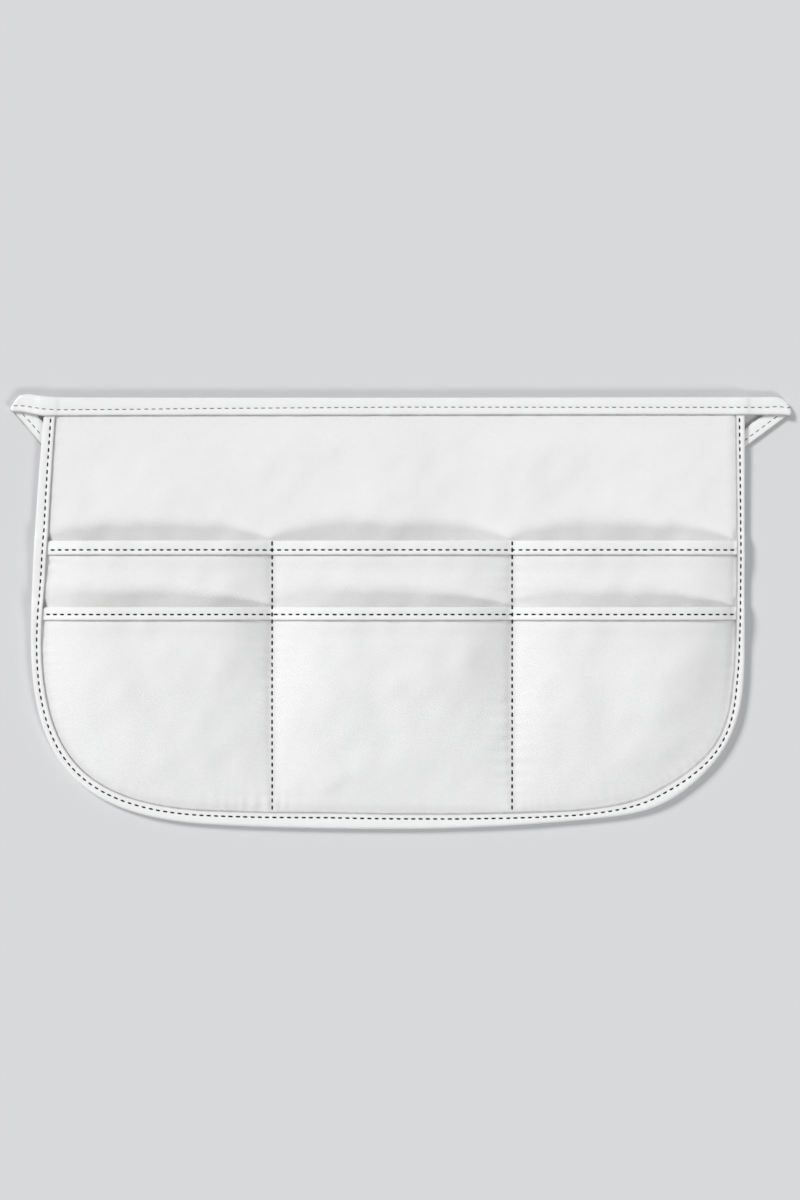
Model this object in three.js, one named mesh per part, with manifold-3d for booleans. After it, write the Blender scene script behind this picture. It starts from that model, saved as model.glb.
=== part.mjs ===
// A waist apron with two layers of money pouches, laid flat with its face up and its ties turned under.
// Units are millimetres: +X runs along the waistband, +Y towards it and +Z up from the surface it lies on.

import * as THREE from 'three';
import { mergeVertices } from 'three/addons/utils/BufferGeometryUtils.js';
import Module from 'manifold-3d';

const wasm = await Module();
wasm.setup();

// Cloth and tape
const WALL = 1; // one thickness of cloth or of binding tape
const GAP = 0.3; // air between layers that are sewn together
const LAYER = WALL + GAP; // height that each further layer adds
const FOLD_CHAMFER = 0.6; // rounding of a folded tape's outer edge

// Waistband: tape folded over the panel's top edge
const BAND_TOP = 151;
const BAND_BOTTOM = 138;
const BAND_STEP = 40; // spacing of the sections along it

// Ties: the same tape, turned under at each end of the band and laid straight behind the panel
const TIE_THICKNESS = 1.2;
const TIE_LENGTH = 350;
const END_THICKNESS = 2.2; // the band beyond the panel, where the tape's two leaves meet
const END_OVERLAP = 1; // reach of each end into the band that carries it
const FOLD_DEPTH = 2.5; // solid tape at the turn, measured from the fold line

// Pockets, by the height of their mouths above the middle of the apron
const REAR_MOUTH = 50;
const FRONT_MOUTH = 3;
const MOUTH_BINDING = 10; // finished width of the tape over each mouth
const DIVIDERS = [-90.5, 79]; // the two rows of stitching that part the pouches
const SEAM_INSET = 1.6; // the cloth stops this far inside the bound edge
const SEAM_EASE = 4; // it lies flat this far past the binding before it rises

// How far each pouch stands open in its middle
const POUCHES = [
  { name: 'left', rearGape: 7.4, frontGape: 6.6 },
  { name: 'centre', rearGape: 8, frontGape: 7 },
  { name: 'right', rearGape: 7.2, frontGape: 6.4 },
];
const FLATNESS = 3; // a higher power gives a pouch a flatter top between steeper sides
const SEAM_RISE = 2.4; // a higher power lifts a pouch faster above the hem

// The bound edge from the band's left end round the hem to its right end: points that it passes, its heading
// there in degrees, the reach of the curve before and after the point, and the binding's width there.
const EDGE = [
  { x: -252, y: BAND_BOTTOM - GAP, heading: -95, before: 0, after: 50, binding: 8.8 },
  { x: -261, y: -20.5, heading: -90, before: 49, after: 80, binding: 7.8 },
  { x: -141, y: -150, heading: -4, before: 92, after: 41, binding: 9.5 },
  { x: -5, y: -153.7, heading: 0, before: 41, after: 48, binding: 11.2 },
  { x: 141.5, y: -146, heading: 6, before: 48, after: 28, binding: 8 },
  { x: 200.5, y: -126.5, heading: 37, before: 21, after: 52, binding: 9.6 },
  { x: 243.5, y: -20.5, heading: 90, before: 42, after: 50, binding: 7 },
  { x: 243.5, y: BAND_BOTTOM - GAP, heading: 90, before: 50, after: 0, binding: 6.8 },
];
const EDGE_STEP = 7; // spacing of the binding's sections
const HEM = EDGE[3].y;

// Each end of the waistband, seen from above: its shoulder, the corner beyond that, the fold line's two ends,
// the heel on the band's lower edge, and the way that the tie runs on from the fold.
const ENDS = [
  {
    shoulder: [-263.5, 153.8], corner: [-267, 154.2], foldTop: [-269.1, 151.6], foldBottom: [-275.5, 143.9],
    heel: [-253, BAND_BOTTOM], joinsBandAt: -252, tieHeading: -49.7,
  },
  {
    shoulder: [265.2, 151.2], corner: [268.5, 151], foldTop: [270.5, 149], foldBottom: [275.5, 140],
    heel: [273.5, BAND_BOTTOM], joinsBandAt: 243.5, tieHeading: -143.3,
  },
];

// The apron tips up a little towards the band, where the ties pass below the binding.
const TIE_CROSSING = 116;
const TIP = Math.atan2(TIE_THICKNESS + GAP, TIE_CROSSING - HEM);
const END_UNDERSIDE = (BAND_BOTTOM - HEM) * Math.tan(TIP);

// Height of the sewn layers along the bound edge: one, two or three of cloth, with a bump at each mouth
const EDGE_LAYERS = [
  { y: REAR_MOUTH + 22, top: WALL },
  { y: REAR_MOUTH + 6, top: WALL + 2 * LAYER },
  { y: REAR_MOUTH - 22, top: WALL + 2 * LAYER },
  { y: FRONT_MOUTH + 6, top: WALL + 3 * LAYER },
  { y: FRONT_MOUTH - 22, top: WALL + 3 * LAYER },
  { y: FRONT_MOUTH - 34, top: WALL + 2 * LAYER },
];

// A pocket's cloth is lifted by the tape inside its mouth, and comes down again below that.
const LIFT_END = MOUTH_BINDING + 4;
const LIFT_FADE = 12;

// Shares of a pouch's width and of a pocket's height where its surface is worked out
const ACROSS = [0, 0.08, 0.2, 0.35, 0.5, 0.65, 0.8, 0.92, 1];
const DOWN_REAR = [0, 0.14, 0.27, 0.4, 0.53, 0.76, 1];
const DOWN_BOTH = [0, 0.045, 0.085, 0.125, 0.165, 0.28, 0.42, 0.58, 0.74, 0.88, 0.95, 1];
const BOUND_SHARE = 0.045; // share of an outer pouch's width that the edge binding covers

const heading = (degrees) => {
  const angle = THREE.MathUtils.degToRad(degrees);
  return new THREE.Vector2(Math.cos(angle), Math.sin(angle));
};
const vector = ([x, y]) => new THREE.Vector2(x, y);

// Sections of the bound edge: a point, the way inwards from it, and the binding's width.
function edgeStations() {
  const stations = [];
  for (let i = 1; i < EDGE.length; i += 1) {
    const [from, to] = [EDGE[i - 1], EDGE[i]];
    const start = new THREE.Vector2(from.x, from.y);
    const end = new THREE.Vector2(to.x, to.y);
    const leave = start.clone().addScaledVector(heading(from.heading), from.after);
    const arrive = end.clone().addScaledVector(heading(to.heading), -to.before);
    const curve = new THREE.CubicBezierCurve(start, leave, arrive, end);
    const steps = Math.ceil(curve.getLength() / EDGE_STEP);
    const last = i === EDGE.length - 1 ? steps : steps - 1;
    for (let k = 0; k <= last; k += 1) {
      const share = k / steps;
      const way = curve.getTangentAt(share);
      stations.push({
        point: curve.getPointAt(share),
        way,
        inward: new THREE.Vector2(-way.y, way.x),
        width: THREE.MathUtils.lerp(from.binding, to.binding, share),
      });
    }
  }
  return stations;
}

const stations = edgeStations();
const inset = (station, distance) => station.point.clone().addScaledVector(station.inward, distance);
const innerEdge = stations.map((station) => inset(station, station.width));
const pouchEdge = stations.map((station) => inset(station, station.width + SEAM_EASE));
const clothEdge = stations.map((station) => inset(station, SEAM_INSET));

// Place of the lowest value of a measure in a list.
function lowest(list, measure) {
  return list.reduce((best, item, i) => (measure(item) < measure(list[best]) ? i : best), 0);
}

// The left side, hem and right side of an edge, each running one way along Y, X and Y.
function sidesOf(edge) {
  const bottom = lowest(edge, (p) => p.y);
  const left = lowest(edge, (p) => p.x);
  const right = lowest(edge, (p) => -p.x);
  return { left: edge.slice(0, bottom + 1), hem: edge.slice(left, right + 1), right: edge.slice(bottom) };
}

// The other coordinate of a run of points where its own key coordinate has a value, held at the run's ends.
function lookUp(points, key, value) {
  const other = key === 'x' ? 'y' : 'x';
  const passes = (p, i) => i > 0 && (p[key] - value) * (points[i - 1][key] - value) <= 0;
  const i = points.findIndex(passes);
  if (i < 0) {
    const [first, last] = [points[0], points[points.length - 1]];
    return Math.abs(first[key] - value) < Math.abs(last[key] - value) ? first[other] : last[other];
  }
  const [a, b] = [points[i - 1], points[i]];
  return THREE.MathUtils.mapLinear(value, a[key], b[key], a[other], b[other]);
}

const inner = sidesOf(innerEdge);
const pouchSides = sidesOf(pouchEdge);
const cloth = sidesOf(clothEdge);

// Fullness of the pouch at a place, from 0 at its seams to 1 in the middle of its mouth.
function fullness(x, y, mouth) {
  const walls = [lookUp(pouchSides.left, 'y', y), ...DIVIDERS, lookUp(pouchSides.right, 'y', y)];
  const pouch = DIVIDERS.filter((divider) => x > divider).length;
  const across = THREE.MathUtils.clamp((x - walls[pouch]) / (walls[pouch + 1] - walls[pouch]), 0, 1);
  const seam = lookUp(pouchSides.hem, 'x', x);
  const up = THREE.MathUtils.clamp((y - seam) / (mouth - seam), 0, 1);
  const arch = 1 - Math.abs(2 * across - 1) ** FLATNESS;
  const rise = 1 - (1 - up) ** SEAM_RISE;
  return { pouch, share: arch * rise };
}

// Height that the tape inside a mouth adds under the pocket's cloth.
function mouthLift(y, mouth) {
  return LAYER * (1 - THREE.MathUtils.smoothstep(mouth - LIFT_END - y, 0, LIFT_FADE));
}

// Undersides of the two pocket layers above the panel's own underside.
function rearUnderside(x, y) {
  const { pouch, share } = fullness(x, y, REAR_MOUTH);
  return LAYER + mouthLift(y, REAR_MOUTH) + POUCHES[pouch].rearGape * share;
}

function frontUnderside(x, y) {
  const { pouch, share } = fullness(x, y, FRONT_MOUTH);
  return rearUnderside(x, y) + LAYER + mouthLift(y, FRONT_MOUTH) + POUCHES[pouch].frontGape * share;
}

// Top of the layers that the edge binding holds at a height on the apron.
function edgeLayers(y) {
  const next = EDGE_LAYERS.findIndex((row) => row.y <= y);
  if (next === 0) return EDGE_LAYERS[0].top;
  if (next < 0) return EDGE_LAYERS[EDGE_LAYERS.length - 1].top;
  const [above, below] = [EDGE_LAYERS[next - 1], EDGE_LAYERS[next]];
  return THREE.MathUtils.mapLinear(y, above.y, below.y, above.top, below.top);
}

function geometryOf(positions, triangles) {
  const geometry = new THREE.BufferGeometry();
  geometry.setAttribute('position', new THREE.Float32BufferAttribute(positions, 3));
  geometry.setIndex(triangles);
  return geometry;
}

// A tape folded over an edge: a U-shaped section carried along stations, whose leaves lie just below and
// above what they hold. holds(x, y) gives the bottom and top of that.
function foldedTape(stops, holds) {
  const section = (width, low, high) => [
    [FOLD_CHAMFER, low], [width, low], [width, low + WALL], [WALL, low + WALL],
    [WALL, high - WALL], [width, high - WALL], [width, high], [FOLD_CHAMFER, high],
    [0, high - FOLD_CHAMFER], [0, low + FOLD_CHAMFER],
  ];
  const positions = [];
  for (const stop of stops) {
    const depths = section(stop.width, 0, 0).map(([depth]) => depth);
    depths.forEach((depth, j) => {
      const place = inset(stop, depth);
      const { bottom, top } = holds(place.x, place.y);
      const [, z] = section(stop.width, bottom - LAYER, top + LAYER)[j];
      positions.push(place.x, place.y, z);
    });
  }
  const count = section(0, 0, 0).length;
  const triangles = [];
  for (let i = 0; i + 1 < stops.length; i += 1) {
    for (let j = 0; j < count; j += 1) {
      const [a, b] = [i * count + j, i * count + ((j + 1) % count)];
      triangles.push(a, b, b + count, a, b + count, a + count);
    }
  }
  const outline = section(stops[0].width, 0, 4 * LAYER).map(vector);
  const cap = THREE.ShapeUtils.triangulateShape(outline, []);
  const far = (stops.length - 1) * count;
  for (const [a, b, c] of cap) triangles.push(a, c, b, far + a, far + b, far + c);
  return geometryOf(positions, triangles);
}

// A sheet of cloth over rows of plan points, with its underside at underside(x, y) and its face one wall above.
function clothSheet(rows, underside) {
  const [rowCount, columnCount] = [rows.length, rows[0].length];
  const positions = [];
  for (const rise of [0, WALL]) {
    for (const p of rows.flat()) positions.push(p.x, p.y, underside(p.x, p.y) + rise);
  }
  const face = rowCount * columnCount;
  const at = (r, c) => r * columnCount + c;
  const triangles = [];
  for (let r = 0; r + 1 < rowCount; r += 1) {
    for (let c = 0; c + 1 < columnCount; c += 1) {
      const [a, b, d, e] = [at(r, c), at(r + 1, c), at(r + 1, c + 1), at(r, c + 1)];
      triangles.push(face + a, face + b, face + d, face + a, face + d, face + e);
      triangles.push(a, d, b, a, e, d);
    }
  }
  const wall = (a, b) => triangles.push(a, b, face + b, a, face + b, face + a);
  for (let c = 0; c + 1 < columnCount; c += 1) {
    wall(at(0, c + 1), at(0, c));
    wall(at(rowCount - 1, c), at(rowCount - 1, c + 1));
  }
  for (let r = 0; r + 1 < rowCount; r += 1) {
    wall(at(r, 0), at(r + 1, 0));
    wall(at(r + 1, columnCount - 1), at(r, columnCount - 1));
  }
  return geometryOf(positions, triangles);
}

// Plan points of a four-sided patch, blended from its top, bottom, left and right boundaries.
function patch(top, bottom, left, right, columns, rows) {
  const corners = [top.getPoint(0), top.getPoint(1), bottom.getPoint(0), bottom.getPoint(1)];
  return rows.map((r) => columns.map((c) => {
    const point = new THREE.Vector2();
    point.addScaledVector(top.getPointAt(c), 1 - r).addScaledVector(bottom.getPointAt(c), r);
    point.addScaledVector(left.getPointAt(r), 1 - c).addScaledVector(right.getPointAt(r), c);
    point.addScaledVector(corners[0], -(1 - c) * (1 - r)).addScaledVector(corners[1], -c * (1 - r));
    return point.addScaledVector(corners[2], -(1 - c) * r).addScaledVector(corners[3], -c * r);
  }));
}

const line = (a, b) => new THREE.LineCurve(a, b);
const through = (points) => new THREE.SplineCurve(points);
const flip = (shares) => shares.map((share) => 1 - share).reverse();

// Plan points of all three pouches side by side: columns end on the dividers and on the cloth's edges.
function pouchGrid(tops, bottoms, sides, rows) {
  const boundColumns = [0, ...ACROSS.map((share) => BOUND_SHARE + (1 - BOUND_SHARE) * share)];
  const columns = [boundColumns, ACROSS, flip(boundColumns)];
  const patches = columns.map((shares, i) => patch(tops[i], bottoms[i], sides[i], sides[i + 1], shares, rows));
  return rows.map((_, r) => patches.flatMap((points, i) => (i === 0 ? points[r] : points[r].slice(1))));
}

// The cloth's corner points, its walls at a height, and its two dividers there, from left to right.
const leftCorner = stations.findIndex(({ way }) => way.x >= -way.y);
const rightCorner = stations.length - 1 - [...stations].reverse().findIndex(({ way }) => way.x >= way.y);
const wallsAt = (y) => [lookUp(cloth.left, 'y', y), ...DIVIDERS, lookUp(cloth.right, 'y', y)]
  .map((x) => new THREE.Vector2(x, y));
const acrossAt = (y) => wallsAt(y).slice(1).map((wall, i) => line(wallsAt(y)[i], wall));

// Rows of plan points between the two mouths, which only the rear pocket has.
function upperRows(high, low) {
  const [highWalls, lowWalls] = [wallsAt(high), wallsAt(low)];
  const between = (p) => p.y < high && p.y > low;
  const left = through([highWalls[0], ...cloth.left.filter(between), lowWalls[0]]);
  const right = through([highWalls[3], ...cloth.right.filter(between).reverse(), lowWalls[3]]);
  const sides = [left, line(highWalls[1], lowWalls[1]), line(highWalls[2], lowWalls[2]), right];
  return pouchGrid(acrossAt(high), acrossAt(low), sides, DOWN_REAR);
}

// Rows of plan points from the front mouth down to the hem, which both pockets have.
function lowerRows(high) {
  const walls = wallsAt(high);
  const feet = DIVIDERS.map((x) => new THREE.Vector2(x, lookUp(cloth.hem, 'x', x)));
  const hem = clothEdge.slice(leftCorner, rightCorner + 1);
  const hems = [
    through([...hem.filter((p) => p.x < feet[0].x), feet[0]]),
    through([feet[0], ...hem.filter((p) => p.x > feet[0].x && p.x < feet[1].x), feet[1]]),
    through([feet[1], ...hem.filter((p) => p.x > feet[1].x)]),
  ];
  const left = through([walls[0], ...clothEdge.slice(0, leftCorner + 1).filter((p) => p.y < high)]);
  const right = through([walls[3], ...clothEdge.slice(rightCorner).filter((p) => p.y < high).reverse()]);
  const sides = [left, line(walls[1], feet[0]), line(walls[2], feet[1]), right];
  return pouchGrid(acrossAt(high), hems, sides, DOWN_BOTH);
}

const rearTop = REAR_MOUTH - WALL - GAP;
const frontTop = FRONT_MOUTH - WALL - GAP;
const sharedRows = lowerRows(frontTop);
const rearRows = [...upperRows(rearTop, frontTop), ...sharedRows.slice(1)];

// The panel reaches up into the band's fold.
function backPanel() {
  const top = BAND_TOP - SEAM_INSET;
  const [left, right] = [clothEdge[0].x, clothEdge[clothEdge.length - 1].x];
  const outline = [new THREE.Vector2(left, top), ...clothEdge, new THREE.Vector2(right, top)];
  return new THREE.ExtrudeGeometry(new THREE.Shape(outline), { depth: WALL, bevelEnabled: false });
}

// Tape over a pocket's mouth, from one side of the edge binding to the other.
function mouthTape(mouth, row, underside) {
  const heights = [mouth, mouth - MOUTH_BINDING];
  const leftEnd = Math.max(...heights.map((y) => lookUp(inner.left, 'y', y))) + GAP;
  const rightEnd = Math.min(...heights.map((y) => lookUp(inner.right, 'y', y))) - GAP;
  const middle = row.map((p) => p.x).filter((x) => x > leftEnd + GAP && x < rightEnd - GAP);
  const stops = [leftEnd, ...middle, rightEnd].reverse().map((x) => ({
    point: new THREE.Vector2(x, mouth), inward: new THREE.Vector2(0, -1), width: MOUTH_BINDING,
  }));
  return foldedTape(stops, (x, y) => ({ bottom: underside(x, y), top: underside(x, y) + WALL }));
}

// The waistband between its two ends.
function bandTape() {
  const [left, right] = ENDS.map((end) => end.joinsBandAt);
  const steps = Math.ceil((right - left) / BAND_STEP);
  const stops = Array.from({ length: steps + 1 }, (_, k) => ({
    point: new THREE.Vector2(THREE.MathUtils.lerp(right, left, k / steps), BAND_TOP),
    inward: new THREE.Vector2(0, -1),
    width: BAND_TOP - BAND_BOTTOM,
  }));
  return foldedTape(stops, () => ({ bottom: 0, top: WALL }));
}

// A flat plate of a plan outline between two heights.
function plate(shape, low, high) {
  const geometry = new THREE.ExtrudeGeometry(shape, { depth: high - low, bevelEnabled: false, curveSegments: 6 });
  return geometry.translate(0, 0, low);
}

// One end of the waistband: the flat tape beyond the panel, its rounded turn, and the tie below.
function bandEnd(end) {
  const top = END_UNDERSIDE + END_THICKNESS;
  const [foldTop, foldBottom] = [vector(end.foldTop), vector(end.foldBottom)];
  const alongFold = foldTop.clone().sub(foldBottom);
  const outwards = Math.sign(end.joinsBandAt);
  const inward = new THREE.Vector2(-outwards * alongFold.y, outwards * alongFold.x).normalize();
  const round = FOLD_DEPTH / 2;
  const nearTop = foldTop.clone().addScaledVector(inward, round);
  const nearBottom = foldBottom.clone().addScaledVector(inward, round);
  const joins = end.joinsBandAt - outwards * END_OVERLAP;

  const flat = new THREE.Shape();
  flat.moveTo(joins, BAND_TOP - FOLD_CHAMFER).lineTo(...end.shoulder);
  flat.quadraticCurveTo(...end.corner, nearTop.x, nearTop.y);
  flat.lineTo(nearBottom.x, nearBottom.y).lineTo(...end.heel).lineTo(joins, BAND_BOTTOM);

  const run = heading(end.tieHeading).multiplyScalar(TIE_LENGTH);
  const tie = new THREE.Shape([nearBottom, nearTop, foldTop.clone().add(run), foldBottom.clone().add(run)]);

  const turn = new THREE.Shape();
  turn.moveTo(FOLD_DEPTH, 0).lineTo(round, 0).quadraticCurveTo(0, 0, 0, top / 2);
  turn.quadraticCurveTo(0, top, round, top).lineTo(FOLD_DEPTH, top);
  const turnSize = { depth: alongFold.length(), bevelEnabled: false, curveSegments: 3 };
  const across = new THREE.Vector3(inward.x, inward.y, 0);
  const up = new THREE.Vector3(0, 0, 1);
  const start = outwards < 0 ? foldTop : foldBottom;
  const place = new THREE.Matrix4().makeBasis(across, up, across.clone().cross(up));
  place.setPosition(start.x, start.y, 0);
  const turned = new THREE.ExtrudeGeometry(turn, turnSize).applyMatrix4(place);

  return [plate(flat, END_UNDERSIDE, top), turned, plate(tie, 0, TIE_THICKNESS)];
}

function solidOf(geometry) {
  const bare = geometry.clone();
  bare.deleteAttribute('normal');
  bare.deleteAttribute('uv');
  const merged = mergeVertices(bare);
  const vertProperties = new Float32Array(merged.attributes.position.array);
  const triVerts = new Uint32Array(merged.index.array);
  return new wasm.Manifold(new wasm.Mesh({ numProp: 3, vertProperties, triVerts }));
}

function joined(geometries) {
  const solid = geometries.map(solidOf).reduce((sum, next) => sum.add(next));
  const { vertProperties, triVerts } = solid.getMesh();
  return geometryOf(vertProperties, Array.from(triVerts));
}

function piece(name, geometry, colour, roughness) {
  const material = new THREE.MeshStandardMaterial({ color: colour, roughness, metalness: 0 });
  const mesh = new THREE.Mesh(geometry, material);
  mesh.name = name;
  return mesh;
}

const CLOTH_WHITE = 0xf2f1ed;
const TAPE_WHITE = 0xf6f5f1;
const CLOTH_ROUGHNESS = 0.92;
const TAPE_ROUGHNESS = 0.85;

// The panel and all that is sewn to it tip about the hem, one tape's layer above the surface.
const hemLine = new THREE.Group();
hemLine.position.set(0, HEM, LAYER);
hemLine.rotation.x = TIP;
const panelFrame = new THREE.Group();
panelFrame.position.y = -HEM;
hemLine.add(panelFrame);
hemLine.updateMatrixWorld(true);

const boundEdge = foldedTape(stations, (x, y) => ({ bottom: 0, top: edgeLayers(y) }));
const rearTape = mouthTape(REAR_MOUTH, rearRows[0], rearUnderside);
const frontTape = mouthTape(FRONT_MOUTH, sharedRows[0], frontUnderside);
panelFrame.add(
  piece('back_panel', backPanel(), CLOTH_WHITE, CLOTH_ROUGHNESS),
  piece('rear_pocket', clothSheet(rearRows, rearUnderside), CLOTH_WHITE, CLOTH_ROUGHNESS),
  piece('front_pocket', clothSheet(sharedRows, frontUnderside), CLOTH_WHITE, CLOTH_ROUGHNESS),
  piece('rear_pocket_binding', rearTape, TAPE_WHITE, TAPE_ROUGHNESS),
  piece('front_pocket_binding', frontTape, TAPE_WHITE, TAPE_ROUGHNESS),
  piece('edge_binding', boundEdge, TAPE_WHITE, TAPE_ROUGHNESS),
);

const band = bandTape().applyMatrix4(panelFrame.matrixWorld);
const waistTape = joined([band, ...ENDS.flatMap(bandEnd)]);

const apron = new THREE.Group();
apron.add(hemLine, piece('waist_tape', waistTape, TAPE_WHITE, TAPE_ROUGHNESS));

export default apron;
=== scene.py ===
# %% [markdown]
# # A money pouch apron
# The real thing is a short waist apron of white cotton twill: a back panel, two layers of pocket cloth
# over it, tape folded over every raw edge, and dark rows of stitching that hold the layers and part the
# pouches. It lies flat with its face up and its ties turned under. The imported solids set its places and
# sizes, and this script dresses them: numpy works out each sheet, tape and stitch as a surface on a grid.

import bpy
import numpy as np
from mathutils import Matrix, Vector


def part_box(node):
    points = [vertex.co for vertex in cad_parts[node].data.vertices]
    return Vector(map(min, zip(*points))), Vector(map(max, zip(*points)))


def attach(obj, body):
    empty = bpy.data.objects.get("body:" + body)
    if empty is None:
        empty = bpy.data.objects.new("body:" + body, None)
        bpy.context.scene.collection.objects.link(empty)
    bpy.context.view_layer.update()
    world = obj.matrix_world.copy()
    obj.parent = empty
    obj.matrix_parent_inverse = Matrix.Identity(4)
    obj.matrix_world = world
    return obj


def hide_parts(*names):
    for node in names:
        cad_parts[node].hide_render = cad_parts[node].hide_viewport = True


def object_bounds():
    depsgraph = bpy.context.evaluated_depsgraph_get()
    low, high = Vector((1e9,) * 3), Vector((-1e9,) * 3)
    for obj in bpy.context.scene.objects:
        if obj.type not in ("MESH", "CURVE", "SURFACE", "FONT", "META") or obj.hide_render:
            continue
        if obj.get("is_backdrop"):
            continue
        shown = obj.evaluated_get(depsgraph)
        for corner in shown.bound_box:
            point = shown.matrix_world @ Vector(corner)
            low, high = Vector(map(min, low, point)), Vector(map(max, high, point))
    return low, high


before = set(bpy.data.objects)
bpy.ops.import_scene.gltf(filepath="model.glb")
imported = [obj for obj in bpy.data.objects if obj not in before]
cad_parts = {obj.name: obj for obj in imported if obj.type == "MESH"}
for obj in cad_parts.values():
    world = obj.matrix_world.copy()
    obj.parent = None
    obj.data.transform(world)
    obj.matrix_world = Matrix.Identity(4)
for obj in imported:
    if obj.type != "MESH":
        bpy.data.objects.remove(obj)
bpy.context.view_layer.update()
print("solids to dress:", ", ".join(sorted(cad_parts)))

# %% [markdown]
# ## Sizes
# Everything is in metres, in the frame of the solids. The hem and the pocket mouths are read from the
# solids. The outline is repeated as the few points and headings that the solids are drawn from, so that
# the tape can follow it smoothly: reading it back from a faceted mesh would give corners.

# %% Cloth, tape and thread sizes
CLOTH = 0.00065  # thickness of the twill
TAPE = 0.00080  # thickness of one leaf of tape, which is doubled because its raw edge is turned in
EASE = 0.00010  # air between layers that are sewn together
FLOOR_EASE = 0.00030  # the tape below the apron stands on its stitches by this much
LAYER = CLOTH + EASE
TAPE_LAYER = TAPE + EASE
SEAM_INSET = 0.0020  # the cloth stops this far inside a bound edge
SEAM_EASE = 0.0005  # it lies flat this far past the binding before it rises

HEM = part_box("edge_binding")[0].y
REAR_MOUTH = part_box("rear_pocket_binding")[1].y
FRONT_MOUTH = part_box("front_pocket_binding")[1].y
DIVIDERS = np.array([-0.0905, 0.0790])  # x of the two rows of stitching that part the pouches
BAND_TOP = 0.1510
BAND_LOW = 0.1380

REAR_GAPE = np.array([0.0081, 0.0087, 0.0079])  # how far the left, centre and right pouch stand open
FRONT_GAPE = np.array([0.0073, 0.0077, 0.0071])
FLATNESS = 3.0  # a higher power gives a pouch a flatter top between steeper sides
SEAM_RISE = 2.4  # a higher power lifts a pouch faster above the hem

TIE_CROSSING = 0.1160  # y where the lower edges of the ties pass under the bound sides
TIE_CLEARANCE = 0.0021  # the apron is lifted this much there
TIP_SLOPE = TIE_CLEARANCE / (TIE_CROSSING - HEM)

STITCH_PITCH = 0.00517  # from one stitch to the next
STITCH_LENGTH = 0.0031  # from end to end, with the ends that dive into the cloth
print(f"mouths at {REAR_MOUTH:.4f} and {FRONT_MOUTH:.4f} m, hem at {HEM:.4f} m")

# %% [markdown]
# ## The bound edge
# Cut cloth frays, so a tape is folded over the sides and the hem. One curve describes that edge: a few
# points, the heading of the edge at each, and how far the curve keeps that heading. The tape's width and
# the place of its stitching change along it, as they do when tape is fed by hand round a corner. They have
# a table of their own that counts along the points from 0: 1.5 is halfway from point 1 to point 2.

# %% Outline and tape tables
EDGE_COLUMNS = ("x", "y", "heading", "before", "after")  # heading in degrees
EDGE_ROWS = np.array([
    (-0.2520, 0.1377, -95.0, 0.000, 0.050),
    (-0.2610, -0.0205, -90.0, 0.049, 0.080),
    (-0.1410, -0.1500, -4.0, 0.092, 0.041),
    (-0.0050, -0.1537, 0.0, 0.041, 0.048),
    (0.1415, -0.1460, 6.0, 0.048, 0.028),
    (0.2005, -0.1265, 37.0, 0.021, 0.052),
    (0.2435, -0.0205, 90.0, 0.042, 0.050),
    (0.2435, 0.1377, 90.0, 0.050, 0.000),
])
EDGE = dict(zip(EDGE_COLUMNS, EDGE_ROWS.T))
FEED_COLUMNS = ("count", "width", "stitch")  # stitch is a share of the width, from the folded edge
FEED_ROWS = np.array([
    (0.00, 0.0087, 0.590),
    (0.50, 0.0100, 0.645),
    (0.70, 0.0096, 0.630),
    (1.00, 0.0078, 0.525),
    (1.40, 0.0082, 0.475),
    (2.00, 0.0098, 0.610),
    (2.65, 0.0114, 0.673),
    (3.15, 0.0107, 0.652),
    (3.45, 0.0096, 0.605),
    (3.90, 0.0072, 0.495),
    (4.10, 0.0078, 0.520),
    (4.75, 0.0103, 0.613),
    (4.95, 0.0099, 0.590),
    (5.25, 0.0070, 0.462),
    (5.40, 0.0069, 0.490),
    (5.72, 0.0080, 0.608),
    (6.25, 0.0058, 0.512),
    (6.55, 0.0058, 0.518),
    (7.00, 0.0068, 0.580),
])
FEED = dict(zip(FEED_COLUMNS, FEED_ROWS.T))
print(f"outline drawn through {len(EDGE_ROWS)} points, tape fed through {len(FEED_ROWS)} widths")


# %% Lines of points
def unit(vectors):
    """Each vector divided by its own length."""
    return vectors / np.linalg.norm(vectors, axis=-1, keepdims=True)


def covered(points):
    """Length covered along a line of points, from 0 at its first."""
    return np.concatenate([[0.0], np.cumsum(np.linalg.norm(np.diff(points, axis=0), axis=1))])


def columns_at(values, run, lengths):
    """Rows of values that go with the points of a line, interpolated at given lengths along it."""
    return np.stack([np.interp(lengths, run, column) for column in values.T], axis=-1)


def points_at(points, lengths):
    """Points at given lengths along a line of points, by linear interpolation."""
    return columns_at(points, covered(points), lengths)


def softened(values, reach):
    """Values averaged over a bell of neighbours. The ends keep their value and slope."""
    weights = np.hanning(2 * reach + 3)[1:-1]
    padded = np.pad(values, reach, mode="reflect", reflect_type="odd")
    return np.convolve(padded, weights / weights.sum(), mode="valid")


# %% Curve of the bound edge
CURVE_STEPS = 120  # points worked out on each cubic curve
EDGE_STEP = 0.0015  # spacing of the even points that are kept
FEED_SOFTNESS = 0.010  # changes of width are spread over this length of edge, both ways


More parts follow.
